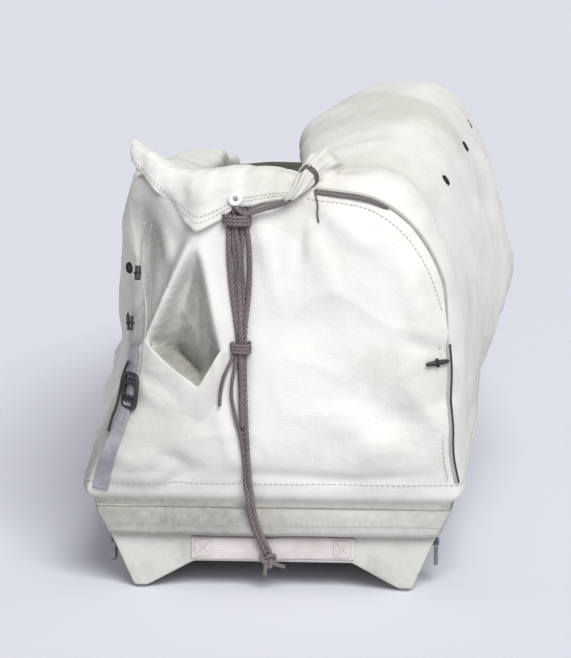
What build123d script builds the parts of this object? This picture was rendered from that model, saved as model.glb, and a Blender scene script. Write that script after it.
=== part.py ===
from build123d import *
from collections import namedtuple
import math
import os

# A scow-shaped cargo sled of moulded fibreglass with a canvas cover, hauled over snow by hand.
# +Y points to the bow, +X to the right and +Z up, from the floor under the middle of the sled.
# A place along the sled is its distance ahead of the transom's outer face.

# Hull
HULL_LENGTH = 2235.0
RIM_HALF_WIDTH = 305.0
RIM_HEIGHT = 165.0
FOOT_HALF_WIDTH = 228.0
FOOT_FLAT = 20.0
TUNNEL_DEPTH = 42.0
TUNNEL_SLOPE_WIDTH = 76.0
BOW_RIM_RISE = 135.0
BOW_FOOT_RISE = 242.0
HULL_WALL = 5.0
CHINE_RADIUS = 10.0

# Rails that cap the hull's edge, and the wear strips under its feet
RAIL_WALL = 4.0
RAIL_GRIP = 12.0
RAIL_CROWN = 4.0
RAIL_SLACK = 0.3
END_RAIL_DEPTH = 16.0
END_RAIL_INSET = 16.0
SHOE_THICKNESS = 3.0
SHOE_FRONT_GAP = 335.0

# Canvas cover
CANVAS = 5.0
CANVAS_CLEARANCE = 0.5
HEM_DROP = 72.0
HEM_SHARE = 0.6
COVER_RISE = 550.0
COVER_SHOULDER_RADIUS = 110.0
COVER_REAR_BULGE = 44.0
COVER_REAR_DEPTH = 60.0
COVER_REAR_CORNER_SET_BACK = 30.0
COVER_REAR_BACK_RADIUS = 260.0
# Least bulge, where the panel hangs almost straight over the rail
COVER_REAR_LEAST_BULGE = 1.0
COVER_FRONT_GAP = 85.0
REAR_FLAT_RIGHT = 0.72
REAR_FLAT_LEFT = 0.60
MOUTH_FRONT = 1250.0
MOUTH_FALL = 62.0
# Place of the wall's top, from the mouth's edge towards the shoulder
WALL_TOP = 0.45
# Straight folds that the cloth takes round each soft corner
CLOTH_FOLDS = 2
# Height of the deck's folds, and place of the ones beside its middle as a share of the shoulder's
DECK_FOLD = 16.0
DECK_FOLD_SHARE = 0.5

# Layers that lie on the rear panel: the turned-down collar, the canvas folded over the left corner, and
# a webbing strap with its buckle. Outlines are shares of the rim's half-width and of COVER_RISE.
COLLAR_OUTLINE = (
    (-0.734, 0.907),
    (-0.702, 0.864),
    (-0.407, 0.769),
    (-0.197, 0.831),
    (0.066, 0.864),
    (0.230, 0.896),
    (0.197, 0.922),
    (-0.734, 0.922),
)
FOLD_OUTLINE = ((-0.384, 0.758), (-0.643, 0.436), (-0.384, 0.311), (-0.246, 0.462), (-0.230, 0.718))
STRAP_OUTLINE = (
    (-0.950, 0.013),
    (-0.860, 0.013),
    (-0.700, 0.240),
    (-0.680, 0.427),
    (-0.770, 0.427),
    (-0.790, 0.240),
)
BUCKLE_OUTLINE = ((-0.775, 0.245), (-0.665, 0.245), (-0.665, 0.358), (-0.775, 0.358))
WEBBING = 2.0
BUCKLE_THICKNESS = 7.0
TRANSOM_STRAP_LENGTH = 262.0
TRANSOM_STRAP_WIDTH = 38.0

# Lashing rope down the rear panel, from under the collar to its knot on the transom's strap
ROPE_RADIUS = 4.0
ROPE_SIDES = 6
ROPE_CLEARANCE = 1.5
ROPE_HEAD_X = -55.0
ROPE_HEAD_SHARE = 0.813
ROPE_FOOT_X = -42.0
ROPE_HEM_X = -20.0
KNOT_RADIUS = 9.0
KNOT_X = -7.0

# Tow fitting on the bow
TOW_PLATE_WIDTH = 100.0
TOW_PLATE_HEIGHT = 30.0
TOW_PLATE_THICKNESS = 4.0
TOW_PLATE_BELOW_RIM = 30.0
TOW_PLATE_CORNER = 4.0
TOW_BAR_REACH = 38.0
TOW_BAR_RADIUS = 4.5
TOW_BAR_HALF_SPAN = 20.0
TOW_BAR_BEND_RADIUS = 8.0
TOW_RING_HOLE_RADIUS = 22.0
TOW_RING_SECTION = 8.0
TOW_RING_CHAMFER = 2.0

# Drag-strap rings at the stern
CLIP_AHEAD = 56.0
CLIP_HEIGHT = 72.0
CLIP_LENGTH = 20.0
CLIP_PLATE_LENGTH = 40.0
CLIP_PLATE_HEIGHT = 30.0
CLIP_PLATE_THICKNESS = 3.0
CLIP_SLEEVE_RADIUS = 5.5
CLIP_SLEEVE_SEAT = 1.0
RING_BAR_RADIUS = 3.0
RING_BAR_HALF_LENGTH = 20.0
RING_DROP = 34.0
RING_BEND_RADIUS = 5.0
RING_TOE_RADIUS = 18.0

# Running clearance of a ring on its bar or in its sleeve
RING_PLAY = 0.25
# Most of a run between two corners that one rounded corner may take
CORNER_SHARE = 0.45

# Places of the sections, as shares of the length in the straight body, and as even steps in the bow
BODY_STATIONS = (0.05, 0.11, 0.16, 0.22, 0.28, 0.34, 0.395, 0.45, 0.50)
BOW_START = 0.60
BOW_STEPS = 8
STATION_GAP = 20.0

# Hull lines as shares: of the length, the rim's half-width, the rim's rise, the foot's half-width,
# the foot's rise and the tunnel's depth.
HULL_COLUMNS = ("ahead", "beam", "sheer", "foot", "rocker", "tunnel")
HULL_LINES = (
    (0.000, 0.967, 0.00, 0.982, 0.000, 1.00),
    (0.050, 0.967, 0.00, 0.982, 0.000, 1.00),
    (0.220, 1.000, 0.00, 1.000, 0.000, 1.00),
    (0.450, 1.000, 0.00, 1.000, 0.000, 1.00),
    (0.630, 0.984, 0.04, 0.982, 0.000, 1.00),
    (0.760, 0.885, 0.15, 0.877, 0.090, 0.86),
    (0.850, 0.754, 0.35, 0.724, 0.306, 0.57),
    (0.920, 0.590, 0.59, 0.561, 0.563, 0.33),
    (0.962, 0.443, 0.79, 0.417, 0.776, 0.19),
    (1.000, 0.279, 1.00, 0.241, 1.000, 0.10),
)

# Cover lines of each side: share of the hull's length, share of COVER_RISE, widths as shares of the
# rim's half-width low on the side, at its flank, its waist and its shoulder, and share of the
# shoulder's radius. Rows lie on the stations, so that the side swells between its lashings and is
# drawn in at them. The load leans to the right, where the canvas swells out over the rail.
COVER_COLUMNS = ("ahead", "rise", "low", "flank", "waist", "shoulder", "round")
BOW_COVER = (
    (0.560, 0.555, 1.045, 1.020, 0.970, 0.680, 0.90),
    (0.630, 0.400, 1.030, 0.985, 0.930, 0.620, 0.75),
    (0.760, 0.245, 1.010, 0.950, 0.880, 0.520, 0.45),
    (0.850, 0.164, 1.000, 0.930, 0.850, 0.460, 0.30),
    (0.920, 0.100, 1.000, 0.920, 0.830, 0.420, 0.18),
    (0.962, 0.062, 1.000, 0.900, 0.800, 0.400, 0.10),
    (1.000, 0.050, 1.000, 0.900, 0.800, 0.400, 0.10),
)
COVER_LINES = {
    "right": (
        (0.000, 0.915, 1.020, 1.020, 1.020, 0.640, 1.00),
        (0.050, 0.950, 1.010, 1.050, 1.060, 0.690, 1.00),
        (0.110, 0.985, 0.990, 1.120, 1.120, 0.760, 1.00),
        (0.160, 1.000, 0.980, 1.140, 1.160, 0.800, 1.00),
        (0.220, 1.000, 0.985, 1.165, 1.165, 0.785, 1.00),
        (0.280, 0.995, 0.975, 1.150, 1.175, 0.805, 1.00),
        (0.340, 0.975, 0.985, 1.170, 1.165, 0.785, 1.00),
        (0.395, 0.940, 0.980, 1.150, 1.165, 0.790, 1.00),
        (0.450, 0.860, 1.000, 1.130, 1.110, 0.750, 1.00),
        (0.500, 0.720, 1.020, 1.060, 1.030, 0.720, 0.95),
    ) + BOW_COVER,
    "left": (
        (0.000, 0.915, 0.960, 0.820, 0.795, 0.750, 0.35),
        (0.050, 0.925, 0.965, 0.820, 0.805, 0.755, 0.35),
        (0.110, 0.940, 0.975, 0.835, 0.840, 0.765, 0.60),
        (0.160, 0.950, 0.985, 0.860, 0.870, 0.785, 1.00),
        (0.220, 0.960, 1.000, 0.905, 0.895, 0.770, 1.00),
        (0.280, 0.950, 0.995, 0.920, 0.925, 0.790, 1.00),
        (0.340, 0.930, 1.015, 0.965, 0.925, 0.765, 1.00),
        (0.395, 0.900, 1.010, 0.975, 0.950, 0.765, 1.00),
        (0.450, 0.830, 1.030, 1.010, 0.945, 0.730, 1.00),
        (0.500, 0.700, 1.030, 1.005, 0.965, 0.700, 0.95),
    ) + BOW_COVER,
}
# Folds along the deck's top: share of the hull's length, and height as shares of DECK_FOLD beside the
# middle and on it
DECK_COLUMNS = ("ahead", "beside", "middle")
DECK_LINES = (
    (0.560, 0.0, 0.0),
    (0.600, 0.9, -0.5),
    (0.650, 0.3, 0.9),
    (0.700, 1.0, -0.2),
    (0.750, 0.3, 0.8),
    (0.800, 0.7, 0.0),
    (0.850, 0.2, 0.4),
    (1.000, 0.0, 0.0),
)
# The walls' own lines: share of the mouth's length, height as a share of the cover's, half-width of the
# mouth as a share of the rim's, and fall of its edge as a share of MOUTH_FALL. The right wall reaches
# over the load behind the mouth and the left one is turned down.
WALL_COLUMNS = ("ahead", "height", "mouth", "fall")
WALL_LINES = {
    "left": (
        (0.00, 1.00, 0.46, 0.0),
        (0.15, 0.95, 0.47, 0.1),
        (0.30, 0.88, 0.50, 0.2),
        (0.50, 0.80, 0.50, 0.2),
        (0.70, 0.78, 0.48, 0.1),
        (0.86, 0.87, 0.46, 0.0),
        (1.00, 1.00, 0.43, 0.0),
    ),
    "right": (
        (0.00, 1.00, 0.20, 0.3),
        (0.11, 1.01, 0.08, 0.7),
        (0.39, 1.02, 0.03, 1.0),
        (0.57, 1.01, 0.25, 0.6),
        (0.75, 1.00, 0.43, 0.1),
        (1.00, 1.00, 0.43, 0.0),
    ),
}
# Most that the canvas leans in just above the rail, as a share of its rise
COVER_LEAN = 0.06
# Heights of the cover's low bulge, flank and waist, as shares of its rise above the rim
COVER_LOW = 0.13
COVER_FLANK = 0.31
COVER_WAIST = 0.54

# Rear panel above the rail: height as a share of the cover's rise, share of the rear bulge, and shares
# of the right and the left corner's set-back. Below it the canvas hangs straight over the transom's rail.
REAR_LINES = (
    (0.10, 0.75, 0.30, 0.30),
    (0.20, 0.95, 0.60, 0.70),
    (0.36, 1.00, 0.80, 1.20),
    (0.52, 0.95, 0.90, 1.60),
    (0.68, 0.84, 1.00, 1.80),
    (0.80, 0.70, 1.00, 1.80),
    (0.89, 0.55, 1.00, 1.50),
    (0.95, 0.36, 1.00, 1.20),
    (0.98, 0.12, 1.00, 1.00),
)

FRONT_REACH = TOW_PLATE_THICKNESS + TOW_BAR_REACH + TOW_RING_HOLE_RADIUS + TOW_RING_SECTION
SHOE_FRONT = HULL_LENGTH - SHOE_FRONT_GAP
COVER_FRONT = HULL_LENGTH - COVER_FRONT_GAP
REAR_REACH = COVER_REAR_BULGE + ROPE_CLEARANCE + 2 * ROPE_RADIUS
TRANSOM_Y = (REAR_REACH - FRONT_REACH - HULL_LENGTH) / 2
TOW_BAR_Y = TRANSOM_Y + HULL_LENGTH + TOW_PLATE_THICKNESS + TOW_BAR_REACH
TOW_Z = RIM_HEIGHT + BOW_RIM_RISE - TOW_PLATE_BELOW_RIM


def lines_at(table, columns, share):
    """Named columns of a table of lines at one share of the length, by smooth cubic steps."""
    low = min(len(table) - 2, max(0, sum(row[0] <= share for row in table) - 1))

    def slope(index, column):
        if index in (0, len(table) - 1):
            return 0.0
        before, here, after = table[index - 1], table[index], table[index + 1]
        rise_in = (here[column] - before[column]) / (here[0] - before[0])
        rise_out = (after[column] - here[column]) / (after[0] - here[0])
        return 0.0 if rise_in * rise_out <= 0 else 2 * rise_in * rise_out / (rise_in + rise_out)

    span = table[low + 1][0] - table[low][0]
    t = (share - table[low][0]) / span
    values = [share]
    for column in range(1, len(columns)):
        values.append(
            (1 + 2 * t) * (1 - t) ** 2 * table[low][column]
            + t * (1 - t) ** 2 * span * slope(low, column)
            + t * t * (3 - 2 * t) * table[low + 1][column]
            - t * t * (1 - t) * span * slope(low + 1, column)
        )
    return namedtuple("Lines", columns)(*values)


def hull_lines(ahead):
    return lines_at(HULL_LINES, HULL_COLUMNS, ahead / HULL_LENGTH)


def rim_at(ahead):
    """Outer edge of the hull's rim as (x, z)."""
    lines = hull_lines(ahead)
    return RIM_HALF_WIDTH * lines.beam, RIM_HEIGHT + BOW_RIM_RISE * lines.sheer


def foot_at(ahead):
    """Outer edge of the runner foot as (x, z)."""
    lines = hull_lines(ahead)
    return FOOT_HALF_WIDTH * lines.foot, SHOE_THICKNESS + BOW_FOOT_RISE * lines.rocker


def flare_at(ahead):
    """Slope of the hull's side: how far it leans out for each step up."""
    rim_x, rim_z = rim_at(ahead)
    foot_x, foot_z = foot_at(ahead)
    return (rim_x - foot_x) / (rim_z - foot_z)


def hull_profile(ahead):
    """Outside of the hull from the left rim round to the right rim, as (x, z) points."""
    tunnel = hull_lines(ahead).tunnel
    foot_x, foot_z = foot_at(ahead)
    inner_x = foot_x - FOOT_FLAT
    half = [
        rim_at(ahead),
        (foot_x, foot_z),
        (inner_x, foot_z),
        (inner_x - TUNNEL_SLOPE_WIDTH * tunnel, foot_z + TUNNEL_DEPTH * tunnel),
    ]
    return [(-x, z) for x, z in half] + half[::-1]


def moved_sideways(points, distance):
    """Open line of points moved to the left of its direction by a distance, with mitred corners."""
    moved = []
    for index, (x, z) in enumerate(points):
        normals = []
        for start, end in ((index - 1, index), (index, index + 1)):
            if 0 <= start and end < len(points):
                dx = points[end][0] - points[start][0]
                dz = points[end][1] - points[start][1]
                length = math.hypot(dx, dz)
                normals.append((-dz / length, dx / length))
        nx = sum(normal[0] for normal in normals)
        nz = sum(normal[1] for normal in normals)
        scale = distance * len(normals) / (nx * nx + nz * nz)
        moved.append((x + nx * scale, z + nz * scale))
    return moved


def rounded_loop(points, radii):
    """Closed wire through points, each corner rounded by its radius as far as its runs allow."""
    stops = corner_stops(points, radii)
    edges = []
    for corner, start, middle, end in stops:
        if start != end:
            edges.append(Edge.make_three_point_arc(start, middle, end))
    for before, here in zip([stops[-1]] + stops, stops):
        edges.append(Edge.make_line(before[3], here[1]))
    return Wire(edges)


def cloth_loop(points, radii):
    """Closed wire through points, each corner taken round its radius in even straight folds."""
    line = []
    for corner, start, middle, end in corner_stops(points, radii):
        if start == end:
            line.append(corner)
            continue
        weights = [step / CLOTH_FOLDS for step in range(CLOTH_FOLDS + 1)]
        arc = Edge.make_three_point_arc(start, middle, end)
        line += [arc @ weight for weight in weights]
    return Wire.make_polygon(line)


def corner_stops(points, radii):
    """Each corner of a closed line with its rounding arc's start, middle and end."""
    corners = [Vector(*point) for point in points]
    stops = []
    for index, (corner, radius) in enumerate(zip(corners, radii)):
        if radius <= 0:
            stops.append((corner, corner, corner, corner))
            continue
        before = corners[index - 1] - corner
        after = corners[(index + 1) % len(corners)] - corner
        half_angle = math.radians(before.get_angle(after)) / 2
        tangent = min(radius / math.tan(half_angle), CORNER_SHARE * min(before.length, after.length))
        bisector = (before.normalized() + after.normalized()).normalized()
        gap = tangent / math.cos(half_angle) - tangent * math.tan(half_angle)
        start = corner + before.normalized() * tangent
        end = corner + after.normalized() * tangent
        stops.append((corner, start, corner + bisector * gap, end))
    return stops


def rounded_line(points):
    """Open wire through points, each inner corner rounded as far as its runs allow."""
    corners = [Vector(*point) for point in points]
    edges = []
    last = corners[0]
    for before, corner, after in zip(corners, corners[1:], corners[2:]):
        back = before - corner
        ahead = after - corner
        half_angle = math.radians(back.get_angle(ahead)) / 2
        tangent = CORNER_SHARE * min(back.length, ahead.length)
        start = corner + back.normalized() * tangent
        end = corner + ahead.normalized() * tangent
        bisector = (back.normalized() + ahead.normalized()).normalized()
        gap = tangent / math.cos(half_angle) - tangent * math.tan(half_angle)
        edges += [Edge.make_line(last, start), Edge.make_three_point_arc(start, corner + bisector * gap, end)]
        last = end
    return Wire(edges + [Edge.make_line(last, corners[-1])])


def across(ahead, points, radii, loop=rounded_loop):
    """Closed face across the sled through (x, z) points, each with its corner radius."""
    y = TRANSOM_Y + ahead
    return Face(loop([(x, y, z) for x, z in points], radii))


def stations(first, last):
    """Places for sections between two places. All pieces share them, so that they seat on each other."""
    joints = [END_RAIL_DEPTH, COVER_REAR_DEPTH, MOUTH_FRONT, SHOE_FRONT, COVER_FRONT, HULL_LENGTH - END_RAIL_DEPTH]
    bow = HULL_LENGTH * BOW_START
    steps = [HULL_LENGTH * share for share in BODY_STATIONS]
    steps += [bow + (HULL_LENGTH - bow) * step / BOW_STEPS for step in range(BOW_STEPS)]
    steps = [step for step in steps if min(abs(step - joint) for joint in joints) > STATION_GAP]
    return [first] + [place for place in sorted(joints + steps) if first < place < last] + [last]


def make_hull():
    """Open tray with flared sides, two runner feet, a raised tunnel between them and a rising bow."""
    hollow = CHINE_RADIUS - HULL_WALL
    outer_radii = [0, CHINE_RADIUS, CHINE_RADIUS, hollow]
    inner_radii = [0, hollow, hollow, CHINE_RADIUS]
    radii = outer_radii + outer_radii[::-1] + inner_radii + inner_radii[::-1]
    sections = []
    for ahead in stations(HULL_WALL, HULL_LENGTH - HULL_WALL):
        outside = hull_profile(ahead)
        rim_x, rim_z = rim_at(ahead)
        edge_x = rim_x - HULL_WALL * math.hypot(1, flare_at(ahead))
        inside = [(-edge_x, rim_z)] + moved_sideways(outside, HULL_WALL)[1:-1] + [(edge_x, rim_z)]
        sections.append(across(ahead, outside + inside[::-1], radii))
    hull = loft(sections, ruled=True)
    for ahead in (0, HULL_LENGTH - HULL_WALL):
        end = across(ahead, hull_profile(ahead), outer_radii + outer_radii[::-1])
        hull += extrude(end, amount=HULL_WALL, dir=(0, 1, 0))
    return hull


def rail_section(ahead, side):
    """Channel round the hull's edge on one side, with its slot just clear of the wall."""
    x, z = rim_at(ahead)
    flare = flare_at(ahead)
    out = x + RAIL_SLACK
    inside = x - HULL_WALL * math.hypot(1, flare) - RAIL_SLACK
    low = z - RAIL_GRIP
    high = z + RAIL_CROWN
    points = [
        (inside - RAIL_WALL - flare * RAIL_GRIP, low),
        (inside - flare * RAIL_GRIP, low),
        (inside, z + RAIL_SLACK),
        (out, z + RAIL_SLACK),
        (out - flare * RAIL_GRIP, low),
        (out + RAIL_WALL - flare * RAIL_GRIP, low),
        (out + RAIL_WALL, high),
        (inside - RAIL_WALL, high),
    ]
    return across(ahead, [(side * px, pz) for px, pz in points], [0] * len(points))


def make_side_rail(side):
    return loft([rail_section(a, side) for a in stations(END_RAIL_DEPTH, HULL_LENGTH - END_RAIL_DEPTH)], ruled=True)


def make_end_rail(ahead, inward):
    """Straight channel over the hull's edge across the transom or the bow."""
    x, z = rim_at(ahead)
    outside = -inward * (RAIL_WALL + RAIL_SLACK)
    height = RAIL_GRIP + RAIL_CROWN
    half_width = x + RAIL_WALL - flare_at(ahead) * RAIL_GRIP
    bar = Box(2 * half_width, END_RAIL_DEPTH + RAIL_WALL + RAIL_SLACK, height)
    bar = fillet(bar.edges().filter_by(Axis.Z).group_by(Axis.Y)[0 if inward > 0 else -1], RAIL_WALL)
    bar = Pos(0, outside + inward * bar.bounding_box().size.Y / 2, z - RAIL_GRIP + height / 2) * bar
    slot = Box(3 * x, HULL_WALL + 2 * RAIL_SLACK, RAIL_GRIP + RAIL_SLACK)
    slot = Pos(0, inward * HULL_WALL / 2, z + RAIL_SLACK - (RAIL_GRIP + RAIL_SLACK) / 2) * slot
    ends = Box(x, END_RAIL_DEPTH + RAIL_WALL, RAIL_GRIP + RAIL_SLACK)
    ends = Pos(0, inward * (END_RAIL_DEPTH + RAIL_WALL) / 2, z + RAIL_SLACK - (RAIL_GRIP + RAIL_SLACK) / 2) * ends
    inner = x - END_RAIL_INSET
    for side in (-1, 1):
        bar -= Pos(side * (inner + x / 2), 0, 0) * ends
    return Pos(0, TRANSOM_Y + ahead, 0) * (bar - slot)


def make_shoe(side):
    """Wear strip under one runner foot, following its rise towards the bow."""
    sections = []
    for ahead in stations(0, SHOE_FRONT):
        x, z = foot_at(ahead)
        right = x - CHINE_RADIUS / 2
        left = x - FOOT_FLAT + CHINE_RADIUS / 4
        points = [(left, z - SHOE_THICKNESS), (right, z - SHOE_THICKNESS), (right, z), (left, z)]
        sections.append(across(ahead, [(side * px, pz) for px, pz in points], [0, 0, 0, 0]))
    return loft(sections, ruled=True)


def cover_lines(ahead, name):
    return lines_at(COVER_LINES[name], COVER_COLUMNS, ahead / HULL_LENGTH)


def cover_profile(ahead, name, height=1.0):
    """Outside of one side's canvas from its hem to its shoulder, as (x, z) points with x outwards."""
    lines = cover_lines(ahead, name)
    rim_x, rim_z = rim_at(ahead)
    foot_x, foot_z = foot_at(ahead)
    skin = CANVAS + CANVAS_CLEARANCE
    drop = min(HEM_DROP, HEM_SHARE * (rim_z - foot_z))
    flare = flare_at(ahead)
    rise = COVER_RISE * lines.rise * height
    edge_x = rim_x + RAIL_SLACK + RAIL_WALL + skin
    return [
        (rim_x - flare * drop + skin * math.hypot(1, flare), rim_z - drop),
        (edge_x - flare * RAIL_GRIP, rim_z - RAIL_GRIP - skin),
        (edge_x, rim_z + RAIL_CROWN),
        (max(edge_x - rise * COVER_LEAN, rim_x * lines.low), rim_z + RAIL_CROWN + skin + rise * COVER_LOW),
        (rim_x * lines.flank, rim_z + RAIL_CROWN + skin + rise * COVER_FLANK),
        (rim_x * lines.waist, rim_z + rise * COVER_WAIST),
        (rim_x * lines.shoulder, rim_z + rise),
    ]


def shoulder_radius(ahead, name):
    return COVER_SHOULDER_RADIUS * cover_lines(ahead, name).round


def wall_section(ahead, name, side):
    """Canvas of one side from its hem over its shoulder to the edge of the mouth."""
    lines = lines_at(WALL_LINES[name], WALL_COLUMNS, ahead / MOUTH_FRONT)
    half = cover_profile(ahead, name, lines.height)
    shoulder_x, top = half[-1]
    edge_x = rim_at(ahead)[0] * lines.mouth
    over = (edge_x + (shoulder_x - edge_x) * WALL_TOP, top)
    line = half + [over, (edge_x, top - MOUTH_FALL * lines.fall - CANVAS / 2)]
    inner = moved_sideways(line, CANVAS)
    points = [(side * x, z) for x, z in line + inner[::-1]]
    shoulder = shoulder_radius(ahead, name)
    outer = [0, 0, 0, 0, 0, 0, shoulder, 0, 0]
    inside = [0, 0, 0, 0, 0, 0, max(0, shoulder - CANVAS), 0, 0]
    return across(ahead, points, outer + inside[::-1], cloth_loop)


def deck_section(ahead):
    """Canvas across the sled from hem to hem."""
    half = cover_profile(ahead, "right")
    shoulder_x, top = half[-1]
    folds = lines_at(DECK_LINES, DECK_COLUMNS, ahead / HULL_LENGTH)
    half.append((shoulder_x * DECK_FOLD_SHARE, top + DECK_FOLD * folds.beside))
    line = half + [(0, top + DECK_FOLD * folds.middle)] + [(-x, z) for x, z in half[::-1]]
    inner = moved_sideways(line, CANVAS)
    shoulder = shoulder_radius(ahead, "right")
    outer = [0, 0, 0, 0, 0, 0, shoulder, 0]
    inside = [0, 0, 0, 0, 0, 0, max(0, shoulder - CANVAS), 0]
    radii = outer + [0] + outer[::-1] + inside + [0] + inside[::-1]
    return across(ahead, line + inner[::-1], radii, cloth_loop)


def half_width_at(height, name):
    """Reach of the cover's rear end to one side at a height, round its shoulder too."""
    profile = cover_profile(COVER_REAR_DEPTH, name)
    waist, shoulder = profile[-2:]
    radius = shoulder_radius(COVER_REAR_DEPTH, name)
    lean = math.atan2(waist[0] - shoulder[0], shoulder[1] - waist[1])
    tangent = radius * math.tan((math.pi / 2 - lean) / 2)
    centre = (shoulder[0] - tangent, shoulder[1] - radius)
    if height > centre[1] + radius * math.sin(lean):
        return centre[0] + math.sqrt(radius ** 2 - (height - centre[1]) ** 2)
    for low, high in zip(profile, profile[1:]):
        if height <= high[1]:
            return low[0] + (high[0] - low[0]) * (height - low[1]) / (high[1] - low[1])
    return shoulder[0]


def rear_levels():
    """Levels of the rear panel from its hem up, as (height, back's y, right and left corner's y)."""
    seat = TRANSOM_Y - RAIL_WALL - RAIL_SLACK - CANVAS_CLEARANCE - CANVAS
    reach = COVER_REAR_BULGE + seat - TRANSOM_Y - COVER_REAR_LEAST_BULGE
    profile = cover_profile(COVER_REAR_DEPTH, "right")
    rim_z = rim_at(COVER_REAR_DEPTH)[1]
    rise = profile[-1][1] - rim_z
    shares = [(z, 0, 0, 0) for x, z in profile[:3]]
    shares += [(rim_z + rise * share, bulge, right, left) for share, bulge, right, left in REAR_LINES]
    levels = []
    for z, bulge, *set_backs in shares:
        corners = [seat + COVER_REAR_CORNER_SET_BACK * set_back for set_back in set_backs]
        levels.append((z, seat - COVER_REAR_LEAST_BULGE - reach * bulge, *corners))
    return levels


def rear_shell(lift, thickness):
    """Level strips in plan round the stern, bulging behind the transom, lifted outwards by a distance."""
    levels = rear_levels()
    seat = levels[0][2]
    front = TRANSOM_Y + COVER_REAR_DEPTH
    sections = []
    for z, back, right, left in levels:
        right_x, left_x = half_width_at(z, "right"), -half_width_at(z, "left")
        line = [
            (right_x, front),
            (right_x, right),
            (REAR_FLAT_RIGHT * right_x, back),
            (REAR_FLAT_LEFT * left_x, back),
            (left_x, left),
            (left_x, front),
        ]
        outer = moved_sideways(line, lift + thickness)
        inner = moved_sideways(line, lift)
        points = [(px, py, z) for px, py in outer + inner[::-1]]
        soft = [CANVAS + RAIL_WALL / 2 + corner - seat + lift for corner in (right, left)]
        radii = [0, soft[0], COVER_REAR_BACK_RADIUS, COVER_REAR_BACK_RADIUS, soft[1], 0]
        outer_radii = [radius + thickness if radius else 0 for radius in radii]
        sections.append(Face(cloth_loop(points, outer_radii + radii[::-1])))
    return loft(sections, ruled=True)


def rear_patch(outline, thickness, lift=CANVAS_CLEARANCE):
    """Piece of a layer that lies on the rear panel, inside an outline of (x, z) shares."""
    points = [(RIM_HALF_WIDTH * x, TRANSOM_Y - REAR_REACH, RIM_HEIGHT + COVER_RISE * z) for x, z in outline]
    cutter = extrude(Face(Wire.make_polygon(points)), amount=REAR_REACH + COVER_REAR_DEPTH, dir=(0, 1, 0))
    return rear_shell(lift, thickness) & cutter


def side_reach(name):
    """Furthest reach of the cover to one side."""
    places = stations(COVER_REAR_DEPTH, COVER_FRONT)
    return max(x for ahead in places for x, z in cover_profile(ahead, name))


def make_tow_plate():
    """Plate on the blunt bow with a bent bar that carries the ring."""
    face = TRANSOM_Y + HULL_LENGTH
    plate = Box(TOW_PLATE_WIDTH, TOW_PLATE_THICKNESS, TOW_PLATE_HEIGHT)
    plate = Pos(0, face + TOW_PLATE_THICKNESS / 2, TOW_Z) * fillet(plate.edges().filter_by(Axis.Y), TOW_PLATE_CORNER)
    root = face + TOW_PLATE_THICKNESS / 2
    points = [(-TOW_BAR_HALF_SPAN, root, TOW_Z), (-TOW_BAR_HALF_SPAN, TOW_BAR_Y, TOW_Z)]
    points += [(-x, y, z) for x, y, z in points[::-1]]
    path = FilletPolyline(*points, radius=TOW_BAR_BEND_RADIUS)
    bar = sweep(Plane(path @ 0, z_dir=path % 0) * Circle(TOW_BAR_RADIUS), path)
    return plate + bar


def make_tow_ring():
    """Flat-sided ring that hangs on the bent bar."""
    ring = Cylinder(TOW_RING_HOLE_RADIUS + TOW_RING_SECTION, TOW_RING_SECTION)
    ring -= Cylinder(TOW_RING_HOLE_RADIUS, TOW_RING_SECTION)
    ring = chamfer(ring.edges().filter_by(GeomType.CIRCLE), TOW_RING_CHAMFER)
    drop = TOW_RING_HOLE_RADIUS - TOW_BAR_RADIUS - RING_PLAY
    return Pos(0, TOW_BAR_Y, TOW_Z - drop) * Rot(0, 90, 0) * ring


def clip_bar(side):
    """Axis of a stern ring's straight bar, as (x, z)."""
    foot_x, foot_z = foot_at(CLIP_AHEAD)
    flare = flare_at(CLIP_AHEAD)
    out = CLIP_PLATE_THICKNESS + CLIP_SLEEVE_RADIUS - CLIP_SLEEVE_SEAT
    slant = math.hypot(1, flare)
    return side * (foot_x + flare * (CLIP_HEIGHT - foot_z) + out / slant), CLIP_HEIGHT - out * flare / slant


def make_clip(side):
    """Plate on the hull's flared side with a sleeve for the ring's bar."""
    x, z = clip_bar(side)
    lean = side * math.degrees(math.atan(flare_at(CLIP_AHEAD)))
    out = CLIP_SLEEVE_RADIUS - CLIP_SLEEVE_SEAT
    plate = Box(CLIP_PLATE_THICKNESS, CLIP_PLATE_LENGTH, CLIP_PLATE_HEIGHT)
    plate = fillet(plate.edges().filter_by(Axis.X), TOW_PLATE_CORNER)
    plate = Pos(-side * (out + CLIP_PLATE_THICKNESS / 2), 0, 0) * plate
    sleeve = Rot(90, 0, 0) * (Cylinder(CLIP_SLEEVE_RADIUS, CLIP_LENGTH))
    bore = Rot(90, 0, 0) * Cylinder(RING_BAR_RADIUS + RING_PLAY, CLIP_PLATE_LENGTH * 2)
    return Pos(x, TRANSOM_Y + CLIP_AHEAD, z) * Rot(0, lean, 0) * (plate + sleeve - bore)


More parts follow.
